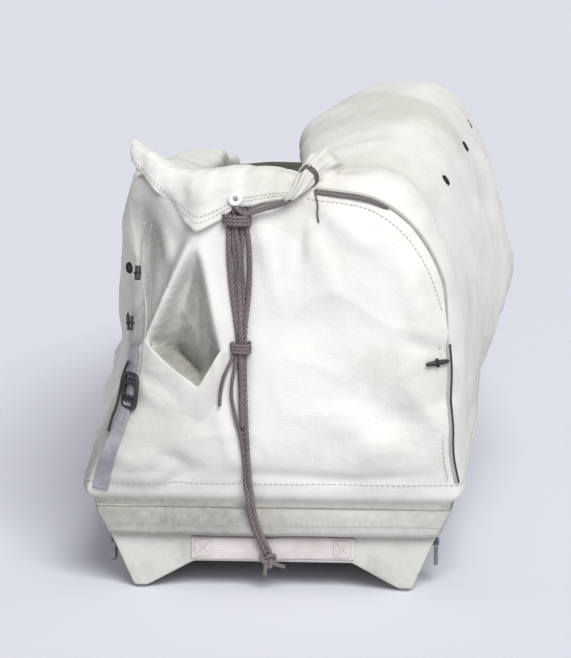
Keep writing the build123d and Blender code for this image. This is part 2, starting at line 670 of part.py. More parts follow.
def make_stern_ring(side):
    """Flat bent ring with a round bar in the clip's sleeve, hanging at rest."""
    x, z = clip_bar(side)
    y = TRANSOM_Y + CLIP_AHEAD
    half = RING_BAR_HALF_LENGTH
    corners = [(-half, 0), (half, 0), (half, -RING_DROP), (-half, -RING_DROP)]
    grow = [(-1, 1), (1, 1), (1, -1), (-1, -1)]
    outlines = []
    for way in (1, -1):
        reach = way * RING_BAR_RADIUS
        moved = [(cy + gy * reach, cz + gz * reach) for (cy, cz), (gy, gz) in zip(corners, grow)]
        points = [(x - RING_BAR_RADIUS, y + my, z + mz) for my, mz in moved]
        radii = [RING_BEND_RADIUS + reach] * 2 + [RING_TOE_RADIUS + reach] * 2
        outlines.append(extrude(Face(rounded_loop(points, radii)), amount=2 * RING_BAR_RADIUS, dir=(1, 0, 0)))
    gap = Box(4 * RING_BAR_RADIUS, 2 * (half - RING_BAR_RADIUS), 3 * RING_BAR_RADIUS)
    ring = outlines[0] - outlines[1] - Pos(x, y, z) * gap
    return ring + Pos(x, y, z) * Rot(90, 0, 0) * Cylinder(RING_BAR_RADIUS, 2 * half)


def make_transom_strap():
    """Webbing band across the transom, over the tunnel."""
    foot_x, foot_z = foot_at(0)
    low = foot_z + TUNNEL_DEPTH + WEBBING
    strap = Box(TRANSOM_STRAP_LENGTH, WEBBING, TRANSOM_STRAP_WIDTH)
    return Pos(0, TRANSOM_Y - WEBBING / 2, low + TRANSOM_STRAP_WIDTH / 2) * strap


def make_rope():
    """Rope that lies down the middle of the rear panel, bridges its foot and ends in a knot on the strap."""
    off = ROPE_CLEARANCE + ROPE_RADIUS
    levels = [(z, back - off) for z, back, *corners in rear_levels()]
    hem_z, hem_y = levels[0]
    head_z = RIM_HEIGHT + COVER_RISE * ROPE_HEAD_SHARE
    foot_z = levels[3][0]
    passed = [(z, y) for z, y in levels[3:] if z < head_z - off]
    (low_z, low_y), (high_z, high_y) = passed[-1], levels[3 + len(passed)]
    passed.append((head_z, low_y + (high_y - low_y) * (head_z - low_z) / (high_z - low_z)))
    points = [(ROPE_FOOT_X + (ROPE_HEAD_X - ROPE_FOOT_X) * (z - foot_z) / (head_z - foot_z), y, z) for z, y in passed]
    knot_z = foot_at(0)[1] + TUNNEL_DEPTH + WEBBING + TRANSOM_STRAP_WIDTH / 2
    knot = (KNOT_X, TRANSOM_Y - WEBBING - CANVAS_CLEARANCE - KNOT_RADIUS, knot_z)
    path = rounded_line([knot, (ROPE_HEM_X, hem_y, hem_z)] + points)
    rope = sweep(Plane(path @ 0, z_dir=path % 0) * RegularPolygon(ROPE_RADIUS, ROPE_SIDES), path)
    return rope + Pos(*knot) * Sphere(KNOT_RADIUS)


PARTS = {
    "hull_shell": make_hull(),
    "transom_rail": make_end_rail(0, 1),
    "bow_rail": make_end_rail(HULL_LENGTH, -1),
    "bow_tow_plate": make_tow_plate(),
    "bow_tow_ring": make_tow_ring(),
    "cover_rear": rear_shell(-CANVAS, CANVAS),
    "cover_collar": rear_patch(COLLAR_OUTLINE, CANVAS),
    "cover_corner_fold": rear_patch(FOLD_OUTLINE, CANVAS),
    "cover_deck": loft([deck_section(a) for a in stations(MOUTH_FRONT, COVER_FRONT)], ruled=True),
    "side_strap_left": rear_patch(STRAP_OUTLINE, WEBBING),
    "side_buckle_left": rear_patch(BUCKLE_OUTLINE, BUCKLE_THICKNESS, WEBBING + 2 * CANVAS_CLEARANCE),
    "transom_strap": make_transom_strap(),
    "lashing_rope": make_rope(),
}
for name, side in (("left", -1), ("right", 1)):
    PARTS["gunwale_" + name] = make_side_rail(side)
    PARTS["runner_shoe_" + name] = make_shoe(side)
    PARTS["stern_clip_" + name] = make_clip(side)
    PARTS["stern_ring_" + name] = make_stern_ring(side)
    wall = [wall_section(a, name, side) for a in stations(COVER_REAR_DEPTH, MOUTH_FRONT)]
    PARTS["cover_" + name] = loft(wall, ruled=True)

# The sections stand about the hull's middle, and the origin is under the middle of the whole box
middle = (side_reach("left") - side_reach("right")) / 2
print("hull's middle at x =", round(middle, 3))
os.makedirs("parts", exist_ok=True)
for name, part in PARTS.items():
    part = Pos(middle, 0, 0) * part
    part.label = name
    export_step(part, os.path.join("parts", name + ".step"))
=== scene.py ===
"""Finish of a scow-shaped cargo sled: canvas cover, lashings, moulded hull, fittings and a pale studio."""
import logging
import math
from dataclasses import dataclass
from enum import Enum
from typing import Optional, Sequence, Union

import bpy
import numpy as np
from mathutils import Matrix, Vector


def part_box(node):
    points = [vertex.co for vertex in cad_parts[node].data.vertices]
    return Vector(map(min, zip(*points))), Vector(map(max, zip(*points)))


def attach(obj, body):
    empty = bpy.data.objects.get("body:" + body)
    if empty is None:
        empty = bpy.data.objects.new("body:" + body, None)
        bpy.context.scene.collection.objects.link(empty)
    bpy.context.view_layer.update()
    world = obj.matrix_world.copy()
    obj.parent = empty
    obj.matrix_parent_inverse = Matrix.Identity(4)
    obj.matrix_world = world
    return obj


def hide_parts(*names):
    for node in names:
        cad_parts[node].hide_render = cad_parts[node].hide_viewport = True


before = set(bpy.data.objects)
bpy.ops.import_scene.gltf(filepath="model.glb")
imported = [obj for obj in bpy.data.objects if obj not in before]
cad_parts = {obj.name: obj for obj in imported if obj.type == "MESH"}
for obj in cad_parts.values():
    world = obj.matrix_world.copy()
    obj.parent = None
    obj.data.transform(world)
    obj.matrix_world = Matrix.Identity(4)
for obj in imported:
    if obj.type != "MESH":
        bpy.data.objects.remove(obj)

Array = np.ndarray
Number = Union[float, Array]
Places = Sequence[Sequence[float]]
Shape = tuple[Array, list[Array]]
Node = bpy.types.Node
Object = bpy.types.Object
Socket = bpy.types.NodeSocket
LOG = logging.getLogger("sled")
TURN = 2 * math.pi
TINY = 1e-12
BACK = (0.0, -1.0, 0.0)
UP = (0.0, 0.0, 1.0)
CANVAS_WALL = 0.0016
THREAD = 0.0007
# Pitch and length of stitches
LONG_STITCH = (0.0085, 0.0058)
SHORT_STITCH = (0.0075, 0.0052)


class Side(Enum):
    """Side of the sled, with the sign of its X."""

    LEFT = -1
    RIGHT = 1


class Face(Enum):
    """Face of the cover, with the two coordinates that place a point on it."""

    REAR = (0, 2)
    FLANK = (1, 2)


def linear(code: str) -> tuple[float, float, float, float]:
    """Turns an sRGB hex colour to linear light.

    Args:
        code: Colour as #RRGGBB.

    Returns:
        Red, green, blue and an alpha of 1.
    """
    values = [int(code[index:index + 2], 16) / 255 for index in (1, 3, 5)]
    red, green, blue = (v / 12.92 if v <= 0.04045 else ((v + 0.055) / 1.055) ** 2.4 for v in values)
    return red, green, blue, 1.0


def feed(tree: bpy.types.NodeTree, node: Node, inputs: dict) -> None:
    """Links sockets to a node's inputs and sets those that get a plain value."""
    for key, value in inputs.items():
        if isinstance(value, Socket):
            tree.links.new(value, node.inputs[key])
        else:
            node.inputs[key].default_value = value


def add_node(tree: bpy.types.NodeTree, kind: str, inputs: Optional[dict] = None, **settings) -> Node:
    """Adds one node with its settings and links.

    Args:
        tree: Node tree that gets the node.
        kind: Type of the node.
        inputs: Values or output sockets, by the name or place of the input.
        settings: Properties of the node.

    Returns:
        The new node.
    """
    node = tree.nodes.new(kind)
    for name, value in settings.items():
        setattr(node, name, value)
    feed(tree, node, inputs or {})
    return node


def unit(vectors: Array) -> Array:
    """Scales vectors along the last axis to length one."""
    return vectors / np.maximum(np.linalg.norm(vectors, axis=-1, keepdims=True), TINY)



def eased(table: Places, share: Array) -> Array:
    """Monotone cubic curve through the rows of a table.

    Each column is a cubic Hermite whose slope at a row is the harmonic mean of the slopes beside it, and
    zero at the ends and at peaks.

    Args:
        table: Rows of a place and its values.
        share: Places to read.

    Returns:
        One row of values for each place.
    """
    rows = np.asarray(table, float)
    places, values = rows[:, 0], rows[:, 1:]
    spans = np.diff(places)
    rises = np.diff(values, axis=0) / spans[:, None]
    product = rises[:-1] * rises[1:]
    total = np.where(product > 0, rises[:-1] + rises[1:], 1.0)
    slopes = np.zeros_like(values)
    slopes[1:-1] = np.where(product > 0, 2 * product / total, 0.0)
    share = np.clip(np.asarray(share, float), places[0], places[-1])
    low = np.clip(np.searchsorted(places, share, "right") - 1, 0, len(places) - 2)
    span = spans[low][..., None]
    t = (share - places[low])[..., None] / span
    return (
        (1 + 2 * t) * (1 - t) ** 2 * values[low]
        + t * (1 - t) ** 2 * span * slopes[low]
        + t * t * (3 - 2 * t) * values[low + 1]
        - t * t * (1 - t) * span * slopes[low + 1]
    )


def spline_weights(count: int, places: Array) -> Array:
    """Weights of a clamped quadratic B-spline on even knots.

    Args:
        count: Number of control points.
        places: Parameters from 0 to 1.

    Returns:
        Matrix of one row for each place and one column for each control point.
    """
    knots = np.concatenate([[0, 0], np.linspace(0, 1, count - 1), [1, 1]])
    t = np.clip(np.asarray(places, float), 0, 1 - 1e-9)[:, None]
    weights = ((t >= knots[:-1]) & (t < knots[1:])).astype(float)
    for degree in (1, 2):
        left, right = knots[:-1 - degree], knots[1 + degree:]
        before = np.maximum(knots[degree:-1] - left, TINY)
        after = np.maximum(right - knots[1:-degree], TINY)
        weights = (t - left) / before * weights[:, :-1] + (right - t) / after * weights[:, 1:]
    return weights



def travelled(line: Array) -> Array:
    """Distance along a line at each of its points."""
    return np.concatenate([[0], np.cumsum(np.linalg.norm(np.diff(line, axis=0), axis=1))])


def even_places(line: Array, count: int) -> Array:
    """Parameters that space points evenly along a densely sampled line.

    Args:
        line: Points sampled at even parameters from 0 to 1.
        count: Number of places.

    Returns:
        Parameters from 0 to 1.
    """
    along = travelled(line)
    return np.interp(np.linspace(0, along[-1], count), along, np.linspace(0, 1, len(line)))


def lofted(control: Array, guide: Array, samples: int, count: int) -> Array:
    """Quadratic B-splines with common parameters, which are even along one of them.

    Args:
        control: Control points as curves, points and coordinates.
        guide: Control points of the curve that sets the parameters.
        samples: Points in which that curve is measured.
        count: Number of points on each curve.

    Returns:
        Points as curves, places and coordinates.
    """
    dense = spline_weights(len(guide), np.linspace(0, 1, samples)) @ guide
    return np.einsum("vk,ukc->uvc", spline_weights(len(guide), even_places(dense, count)), control)


def smooth_line(points: Places, count: int) -> Array:
    """Quadratic B-spline with the given control points, as evenly spaced points."""
    control = np.asarray(points, float)
    return lofted(control[None], control, 12 * len(control), count)[0]


def softened(values: Array, width: int, mode: str) -> Array:
    """Running mean of values under a bell, with the ends carried on.

    Args:
        values: Values in a row.
        width: Odd number of values under the bell.
        mode: How the ends are carried on: edge repeats them, reflect turns them over.

    Returns:
        As many values.
    """
    options = {"reflect_type": "odd"} if mode == "reflect" else {}
    weights = np.hanning(width)[1:-1]
    return np.convolve(np.pad(values, width // 2 - 1, mode=mode, **options), weights / weights.sum(), "valid")


def grid_normals(points: Array) -> Array:
    """Unit normals of a grid: the cross product of its two directions."""
    return unit(np.cross(np.gradient(points, axis=0), np.gradient(points, axis=1)))



def waves(points: Array, length: float, count: int, seed: int, stretch: Sequence[float] = (1, 1, 1)) -> Array:
    """Smooth noise: the mean of sine waves in random directions.

    Args:
        points: Points in metres.
        length: Typical wavelength.
        count: Number of waves.
        seed: Seed of the directions and phases.
        stretch: Factors on the wave numbers along X, Y and Z.

    Returns:
        Values of about -1 to 1.
    """
    random = np.random.default_rng(seed)
    directions = unit(random.normal(size=(count, 3))) * np.asarray(stretch, float)
    numbers = TURN / (length * random.uniform(0.7, 1.7, count))
    phases = random.uniform(0, TURN, count)
    return np.sin(points @ (directions * numbers[:, None]).T + phases).sum(-1) / math.sqrt(count)


def step(values: Array, low: float, high: float) -> Array:
    """Smooth step from 0 at low to 1 at high."""
    t = np.clip((values - low) / (high - low), 0, 1)
    return t * t * (3 - 2 * t)



def bell(off: Array, width: float) -> Array:
    """Gaussian bell of a distance, 1 at its middle."""
    return np.exp(-((off / width) ** 2))


def folded(places: Array, table: Places) -> Array:
    """Height of creases and ridges: Gaussian bars between two places of a face.

    Args:
        places: Two coordinates of each point.
        table: For each bar the coordinates of its start and its end, its width and its height.

    Returns:
        Heights, each fading towards its bar's ends.
    """
    height = np.zeros(places.shape[:-1])
    for bar in table:
        start, end = np.array(bar[:2]), np.array(bar[2:4])
        run = end - start
        t = np.clip(((places - start) @ run) / (run @ run), 0, 1)
        off = np.linalg.norm(places - start - t[..., None] * run, axis=-1)
        height += bar[5] * bell(off, bar[4]) * (0.35 + 0.65 * np.sin(math.pi * t))
    return height


def on_cloth(points: Array, normals: Array, places: Array, axes: tuple, lift: Number) -> tuple[Array, Array]:
    """Finds points on a cloth from two of their coordinates.

    Each point's third coordinate is the mean of those at which the tangent planes of the four nearest
    points pass through its place, weighted by closeness.

    Args:
        points: Points of the cloth.
        normals: Its unit normals.
        places: Two coordinates of each point to find.
        axes: Which two coordinates they are.
        lift: Distance off the cloth.

    Returns:
        The points and the cloth's normals there.
    """
    least_slope, batch, both, free = 0.25, 300, list(axes), 3 - sum(axes)
    found, outs = [], []
    for start in range(0, len(places), batch):
        some = places[start:start + batch]
        gaps = ((points[None][:, :, both] - some[:, None]) ** 2).sum(-1)
        near = np.argpartition(gaps, 4, axis=1)[:, :4]
        close = 1 / (np.take_along_axis(gaps, near, 1) + 1e-8)
        close = close / close.sum(1, keepdims=True)
        around, out = points[near], normals[near]
        slope = out[..., free]
        slope = np.where(np.abs(slope) < least_slope, least_slope * np.where(slope < 0, -1, 1), slope)
        shift = ((some[:, None] - around[..., both]) * out[..., both]).sum(-1) / slope
        here = np.empty((len(some), 3))
        here[:, both] = some
        here[:, free] = ((around[..., free] - shift) * close).sum(1)
        outs.append(unit((out * close[..., None]).sum(1)))
        found.append(here)
    out = np.concatenate(outs)
    return np.concatenate(found) + out * np.broadcast_to(lift, len(places))[:, None], out


def rolled(edge: Array, down: Array, out: Array, radius: float, back: float, steps: int = 7) -> Array:
    """Rows that roll a cloth's edge inwards: half a circle behind it, then a short way back.

    Args:
        edge: Points of the edge.
        down: Direction off the cloth's end at each of them.
        out: The cloth's normal at each.
        radius: Radius of the roll.
        back: Length of the way back.
        steps: Rows of the half circle, less one.

    Returns:
        Rows of points, from the edge on.
    """
    centre = edge - out * radius
    angle = np.linspace(0, math.pi, steps)[1:, None, None]
    turn = centre + radius * (np.cos(angle) * out + np.sin(angle) * down)
    return np.concatenate([turn, turn[-1:] - down * back])



def circle(sides: int) -> Array:
    """Cosine and sine at even places of one turn, as two columns."""
    angle = TURN * np.arange(sides) / sides
    return np.stack([np.cos(angle), np.sin(angle)], -1)


def spokes(sides: int, out: Array, over: Array) -> Array:
    """Directions round a circle between two axes at each point of a path."""
    cosine, sine = circle(sides).T[..., None]
    return cosine * np.asarray(out)[..., None, :] + sine * np.asarray(over)[..., None, :]


def carried(path: Array, guide: Array) -> tuple[Array, Array, Array]:
    """Directions along a path: ahead, the guide's part across it, and the third one."""
    ahead = unit(np.gradient(path, axis=0))
    guide = np.broadcast_to(guide, path.shape)
    out = unit(guide - (guide * ahead).sum(1, keepdims=True) * ahead)
    return ahead, out, np.cross(ahead, out)


def standing(outs: Array, guide: Sequence[float]) -> Array:
    """Axes of copies that stand on a surface, with Z along its normals and X across a guide."""
    across = unit(np.cross(outs, guide))
    return np.stack([across, np.cross(outs, across), outs], 1)


def coil(turns: float, count: int, out: Array, over: Array, travel: Number = 0.0) -> Array:
    """Coil about the origin.

    Args:
        turns: Number of turns.
        count: Number of points.
        out: Where it starts.
        over: Where it is after a quarter of a turn.
        travel: Way that it goes along its axis.

    Returns:
        Points along it.
    """
    share = np.linspace(0, 1, count)[:, None]
    angle = TURN * turns * share
    return np.cos(angle) * out + np.sin(angle) * over + share * travel


def upright(flat: Array, y: Number) -> Array:
    """Puts Y between the X and Z of points."""
    return np.stack([flat[..., 0], np.broadcast_to(y, flat.shape[:-1]), flat[..., 1]], -1)


def quads(index: Array) -> Array:
    """Faces between the neighbours of a grid of point numbers."""
    return np.stack([index[:-1, :-1], index[1:, :-1], index[1:, 1:], index[:-1, 1:]], -1).reshape(-1, 4)


def revolved(profile: Places, sides: int) -> Shape:
    """Ring turned about Z from a closed outline of (radius, height) pairs: points and faces."""
    outline = np.asarray(profile, float)
    points = np.pad(outline[:, None, :1] * circle(sides), ((0, 0), (0, 0), (0, 1)))
    points[..., 2] = outline[:, 1:]
    index = np.arange(len(outline) * sides).reshape(len(outline), sides)
    return points.reshape(-1, 3), [quads(np.pad(index, (0, 1), mode="wrap"))[:, ::-1]]


def capsule(length: float, radius: float, sides: int = 6) -> Shape:
    """Short thread along X with rounded ends: points and faces."""
    rings = np.array([(-0.5, 0.45), (-0.36, 1.0), (0.36, 1.0), (0.5, 0.45)])
    points = np.zeros((4, sides, 3))
    points[..., 0] = rings[:, :1] * length
    points[..., 1:] = rings[:, None, 1:] * radius * circle(sides)
    index = np.arange(4 * sides).reshape(4, sides)
    ends = np.stack([index[0], index[3][::-1]])
    return points.reshape(-1, 3), [quads(np.pad(index, ((0, 0), (0, 1)), mode="wrap")), ends]


class Patchwork:
    """Grids of points gathered into one mesh, whose X is counted from the hull's middle."""

    middle: float = 0.0

    def __init__(self) -> None:
        """Starts with no points."""
        self.points: list[Array] = []
        self.texture: list[Array] = []
        self.values: list[Array] = []
        self.faces: list[list[int]] = []
        self.count = 0

    def take(self, points: Array, texture: Array, faces: list[list[int]], value: Number = 0.0) -> None:
        """Stores points, their texture places, faces between them and a painted value."""
        self.points.append(points)
        self.texture.append(texture)
        self.values.append(np.broadcast_to(value, len(points)))
        self.faces += faces
        self.count += len(points)

    def add_grid(
        self, points: Array, around: bool = False, caps: bool = False, flip: bool = False, value: Number = 0.0
    ) -> None:
        """Adds a grid of quads, with distances along rows and columns as its texture places.

        Args:
            points: Points as rows, columns and XYZ.
            around: Joins the last column to the first.
            caps: Closes the first and last rows with one face each.
            flip: Turns the faces round.
            value: Painted value of each point.
        """
        rows, columns = points.shape[:2]
        spans = [np.linalg.norm(np.diff(points, axis=axis), axis=2).mean(1 - axis) for axis in (0, 1)]
        texture = np.meshgrid(*(np.concatenate([[0], np.cumsum(span)]) for span in spans), indexing="ij")
        index = np.arange(rows * columns).reshape(rows, columns) + self.count
        order = -1 if flip else 1
        ends = [index[0, ::order].tolist(), index[-1, ::-order].tolist()] if caps else []
        if around:
            index = np.concatenate([index, index[:, :1]], 1)
        value = np.broadcast_to(value, (rows, columns)).reshape(-1)
        texture = np.stack(texture, -1).reshape(-1, 2)
        self.take(points.reshape(-1, 3), texture, quads(index)[:, ::order].tolist() + ends, value)

    def add_tube(self, path: Array, radius: Number, sides: int, guide: Array) -> None:
        """Adds a closed tube: a circle carried along a path, its frame turned towards a guide vector.

        Args:
            path: Points of the centreline.
            radius: Radius, or one for each point.
            sides: Points round the tube.
            guide: Direction that isn't along the path, or one for each point.
        """
        _, out, over = carried(path, guide)
        radii = np.broadcast_to(radius, len(path))[:, None, None]
        self.add_grid(path[:, None] + radii * spokes(sides, out, over), around=True, caps=True)

    def add_hoop(self, path: Array, centre: Array, axis: Array, radius: float, sides: int) -> None:
        """Adds a closed hoop of round wire.

        Args:
            path: Points of its centreline, once round.
            centre: Its middle.
            axis: Direction that its plane faces.
            radius: Radius of the wire.
            sides: Points round the wire.
        """
        away = unit(path - centre)
        hoop = path[:, None] + radius * spokes(sides, away, np.broadcast_to(axis, away.shape))
        self.add_grid(np.concatenate([hoop, hoop[:1]]), around=True, flip=True)

    def add_copies(self, shape: Shape, places: Array, axes: Array) -> None:
        """Adds one small shape many times.

        Args:
            shape: Points, and faces in groups of one length.
            places: Centre of each copy.
            axes: X, Y and Z axes of each copy, as rows of a matrix.
        """
        points, groups = shape
        flat = (places[:, None] + np.einsum("pa,nab->npb", points, axes)).reshape(-1, 3)
        first = (np.arange(len(places)) * len(points))[:, None, None] + self.count
        faces = []
        for group in groups:
            faces += (group[None] + first).reshape(-1, group.shape[1]).tolist()
        self.take(flat, flat[:, :2], faces)

    def add_rope(self, path: Array, radius: float, guide: Array, pitch: float = 0.026, sides: int = 8) -> None:
        """Adds a laid rope: three strands that wind about a path.

        Args:
            path: Points of the centreline, 2 to 3 mm apart.
            radius: Radius of the rope.
            guide: Direction that isn't along the path.
            pitch: Length of one turn of a strand.
            sides: Points round a strand.
        """
        _, out, over = carried(path, guide)
        for strand in range(3):
            angle = TURN * (travelled(path) / pitch + strand / 3)[:, None]
            away = np.cos(angle) * out + np.sin(angle) * over
            self.add_tube(path + 0.5 * radius * away, 0.54 * radius, sides, away)

    def add_cord(self, path: Array, radius: float, guide: Array, pitch: float = 0.009) -> None:
        """Adds a thin laid cord, drawn with fewer sides than a rope."""
        self.add_rope(path, radius, guide, pitch, 6)

    def add_stitches(self, path: Array, out: Array, pitch: float, length: float, radius: float) -> None:
        """Adds one line of stitches that lie on a cloth.

        Args:
            path: Points of the line on the cloth.
            out: The cloth's normals there.
            pitch: Distance from stitch to stitch.
            length: Length of a stitch.
            radius: Radius of the thread.
        """
        steps = travelled(path)
        at = np.arange(pitch, steps[-1] - pitch / 2, pitch)
        places, up, along = (
            np.stack([np.interp(at, steps, part[:, axis]) for axis in range(3)], -1)
            for part in (path, out, np.gradient(path, axis=0))
        )
        up = unit(up)
        along = unit(along - (along * up).sum(1, keepdims=True) * up)
        self.add_copies(capsule(length, radius), places, np.stack([along, np.cross(up, along), up], 1))

    def piece(
        self, name: str, finish: "Finish", replaces: Sequence[str] = (), slot: str = "", wall: float = 0.0
    ) -> Object:
        """Makes the mesh and lets it ride on the root body.

        Args:
            name: Name of the piece.
            finish: Finish of its surface.
            replaces: Nodes that it stands for.
            slot: Material slot of the record; not used.
            wall: Thickness that it gets inwards.

        Returns:
            The new object.
        """
        points = np.concatenate(self.points) + (Patchwork.middle, 0.0, 0.0)
        mesh = bpy.data.meshes.new(name)
        mesh.from_pydata(points.tolist(), [], self.faces)
        mesh.polygons.foreach_set("use_smooth", np.full(len(self.faces), True))
        corners = np.empty(len(mesh.loops), np.int32)
        mesh.loops.foreach_get("vertex_index", corners)
        layer = mesh.uv_layers.new(name="cloth")
        layer.data.foreach_set("uv", np.concatenate(self.texture)[corners].astype(np.float32).ravel())
        # Painted value of each point: dirt, and on the canvas painted shade as well.
        painted = mesh.attributes.new("grime_and_painted_shade", "FLOAT", "POINT")
        painted.data.foreach_set("value", np.concatenate(self.values).astype(np.float32))
        mesh.update()
        piece = bpy.data.objects.new(name, mesh)
        bpy.context.scene.collection.objects.link(piece)
        mesh.materials.append(finish.material())
        if wall:
            shell = piece.modifiers.new("wall", "SOLIDIFY")
            shell.thickness = wall
            shell.offset = -1.0
            shell.use_even_offset = False
        if replaces:
            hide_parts(*replaces)
        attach(piece, "root")
        LOG.info("%s: %d points, %d faces", name, len(points), len(self.faces))
        return piece


class Graph:
    """Short calls for the nodes of one material."""

    def __init__(self, tree: bpy.types.NodeTree) -> None:
        """Takes the tree and reads places on the object in metres."""
        self.tree = tree
        self.solid = add_node(tree, "ShaderNodeTexCoord").outputs["Object"]

    def noise(self, scale: float, detail: float, vector: Optional[Socket] = None, **settings: float) -> Socket:
        """Noise of a scale per metre, in the object or at another vector's places."""
        places = self.solid if vector is None else vector
        inputs = {"Vector": places, "Scale": scale, "Detail": detail, **settings}
        return add_node(self.tree, "ShaderNodeTexNoise", inputs).outputs[0]

    def bands(self, way: str, width: float, distortion: float = 0.0, **settings: float) -> Socket:
        """Bands of a width in metres across the cloth's own texture map."""
        flat = add_node(self.tree, "ShaderNodeUVMap", uv_map="cloth").outputs[0]
        inputs = {"Vector": flat, "Scale": TURN / 20 / width, "Distortion": distortion, **settings}
        return add_node(self.tree, "ShaderNodeTexWave", inputs, bands_direction=way).outputs["Fac"]

    def ramp(
        self, value: Socket, low: float = 0.0, high: float = 1.0, start: float = 0.0, end: float = 1.0,
        kind: str = "LINEAR"
    ) -> Socket:
        """Maps low to high onto start to end."""
        inputs = {"Value": value, "From Min": low, "From Max": high, "To Min": start, "To Max": end}
        return add_node(self.tree, "ShaderNodeMapRange", inputs, interpolation_type=kind).outputs[0]

    def mix(self, share: Union[float, Socket], *colours: Union[str, Socket], kind: str = "MIX") -> Socket:
        """Mixes two colours, each a socket or a hex code."""
        first, second = (linear(colour) if isinstance(colour, str) else colour for colour in colours)
        inputs = {0: share, 6: first, 7: second}
        return add_node(self.tree, "ShaderNodeMix", inputs, data_type="RGBA", blend_type=kind).outputs[2]

    def join(self, kind: str, *values: Union[float, Socket], **settings: bool) -> Socket:
        """Joins values by a sum, a product or a maximum."""
        inputs = dict(enumerate(values))
        return add_node(self.tree, "ShaderNodeMath", inputs, operation=kind, **settings).outputs[0]

    def bump(
        self, height: Socket, strength: float, distance: float, over: Optional[Socket] = None, **settings: bool
    ) -> Socket:
        """Relief of a height, over another relief if one is given."""
        inputs = {"Height": height, "Strength": strength, "Distance": distance}
        if over is not None:
            inputs["Normal"] = over
        return add_node(self.tree, "ShaderNodeBump", inputs, **settings).outputs[0]


class Finish:
    """Surface finish, made once as a material."""

    title = "finish"
    made: dict[str, bpy.types.Material] = {}

    def material(self) -> bpy.types.Material:
        """Returns the finish's material, which it makes the first time."""
        if self.title not in Finish.made:
            made = bpy.data.materials.new(self.title)
            made.use_nodes = True
            feed(made.node_tree, made.node_tree.nodes["Principled BSDF"], self.paint(Graph(made.node_tree)))
            Finish.made[self.title] = made
        return Finish.made[self.title]

    def paint(self, graph: Graph) -> dict:
        """Makes the nodes and returns what goes into the shader's sockets, by their names."""
        raise NotImplementedError

    def dress(self, *nodes: str) -> None:
        """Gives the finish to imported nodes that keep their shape."""
        for name in nodes:
            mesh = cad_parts[name].data
            mesh.materials.clear()
            mesh.materials.append(self.material())


@dataclass(frozen=True)
class CottonDuck(Finish):
    """Heavy cotton duck, plain woven and unbleached to white: matt, with a fine grid of threads, soft
    stains where it was wet, and a dark colour mixed in by a painted value: dirt along the hem, and painted
    shade in folds, hollows and on the sides of the cover. The threads are 0.8 mm apart on the real
    cloth and drawn three times as coarse, so that they show."""

    title: str = "cotton_duck"
    clean: str = "#F1EFE9"
    aged: str = "#DFDDD4"
    # Dark colour mixed in by the painted value, for dirt and for painted shade.
    grime_and_painted_shade: str = "#8E8C84"
    thread: float = 0.0024
    relief: float = 0.00035
    stain_length: float = 0.22

    def paint(self, graph: Graph) -> dict:
        """Weave from two bands across the texture map, stains from noise, and dirt and painted shade from a
        painted value.
        """
        fine = {"Detail": 1.0, "Detail Scale": 0.4}
        weave = graph.join("MAXIMUM", *(graph.bands(way, self.thread, 0.6, **fine) for way in "XY"))
        slub = graph.noise(90.0, 3.0)
        blotch = graph.noise(1 / self.stain_length, 5.0, Roughness=0.6)
        cloth = graph.mix(graph.ramp(blotch, 0.46, 0.66, kind="SMOOTHSTEP"), self.clean, self.aged)
        woven = graph.mix(1.0, cloth, graph.ramp(weave, 0.3, 1.0, 0.9), kind="MULTIPLY")
        # Painted value: dirt, and painted shade in folds, hollows and on the sides of the cover.
        painted = add_node(graph.tree, "ShaderNodeAttribute", attribute_name="grime_and_painted_shade").outputs["Fac"]
        amount = graph.join("MULTIPLY", painted, graph.join("MULTIPLY_ADD", slub, 0.45, 0.60), use_clamp=True)
        wrinkle = graph.bump(graph.noise(34.0, 5.0, Distortion=0.8), 0.5, 0.0035)
        return {
            "Base Color": graph.mix(amount, woven, self.grime_and_painted_shade),
            "Roughness": graph.ramp(slub, start=0.82, end=0.98),
            "Sheen Weight": 0.15,
            "Sheen Roughness": 0.6,
            "Normal": graph.bump(weave, 0.6, self.relief, wrinkle),
        }


@dataclass(frozen=True)
class GelCoat(Finish):
    """Glass-fibre laminate with a white gel coat, moulded: half-gloss where it is whole, scuffed along the
    way of travel and greyed in worn patches."""

    title: str = "gel_coat"
    coat: str = "#CED0C6"
    worn: str = "#B0B1A7"
    scratch: str = "#8B8C85"

    def paint(self, graph: Graph) -> dict:
        """Long scratches from stretched noise, chips from fine noise and worn patches from coarse noise."""
        stretch = {"Vector": graph.solid, "Scale": (70.0, 3.0, 70.0)}
        along = add_node(graph.tree, "ShaderNodeMapping", stretch).outputs[0]
        patches = graph.noise(11.0, 6.0, Roughness=0.65)
        worn = graph.ramp(patches, 0.44, 0.7, kind="SMOOTHSTEP")
        cut = graph.ramp(graph.noise(3.0, 4.0, along, Roughness=0.7), 0.64, 0.74, end=0.5)
        chip = graph.ramp(graph.noise(160.0, 2.0), 0.7, 0.76, end=0.6)
        scored = graph.mix(cut, graph.mix(worn, self.coat, self.worn), self.scratch)
        return {
            "Base Color": graph.mix(chip, scored, self.scratch),
            "Roughness": graph.ramp(patches, 0.3, 0.7, 0.32, 0.62),
            "Normal": graph.bump(graph.join("ADD", cut, chip), 0.4, 0.0004, invert=True),
        }


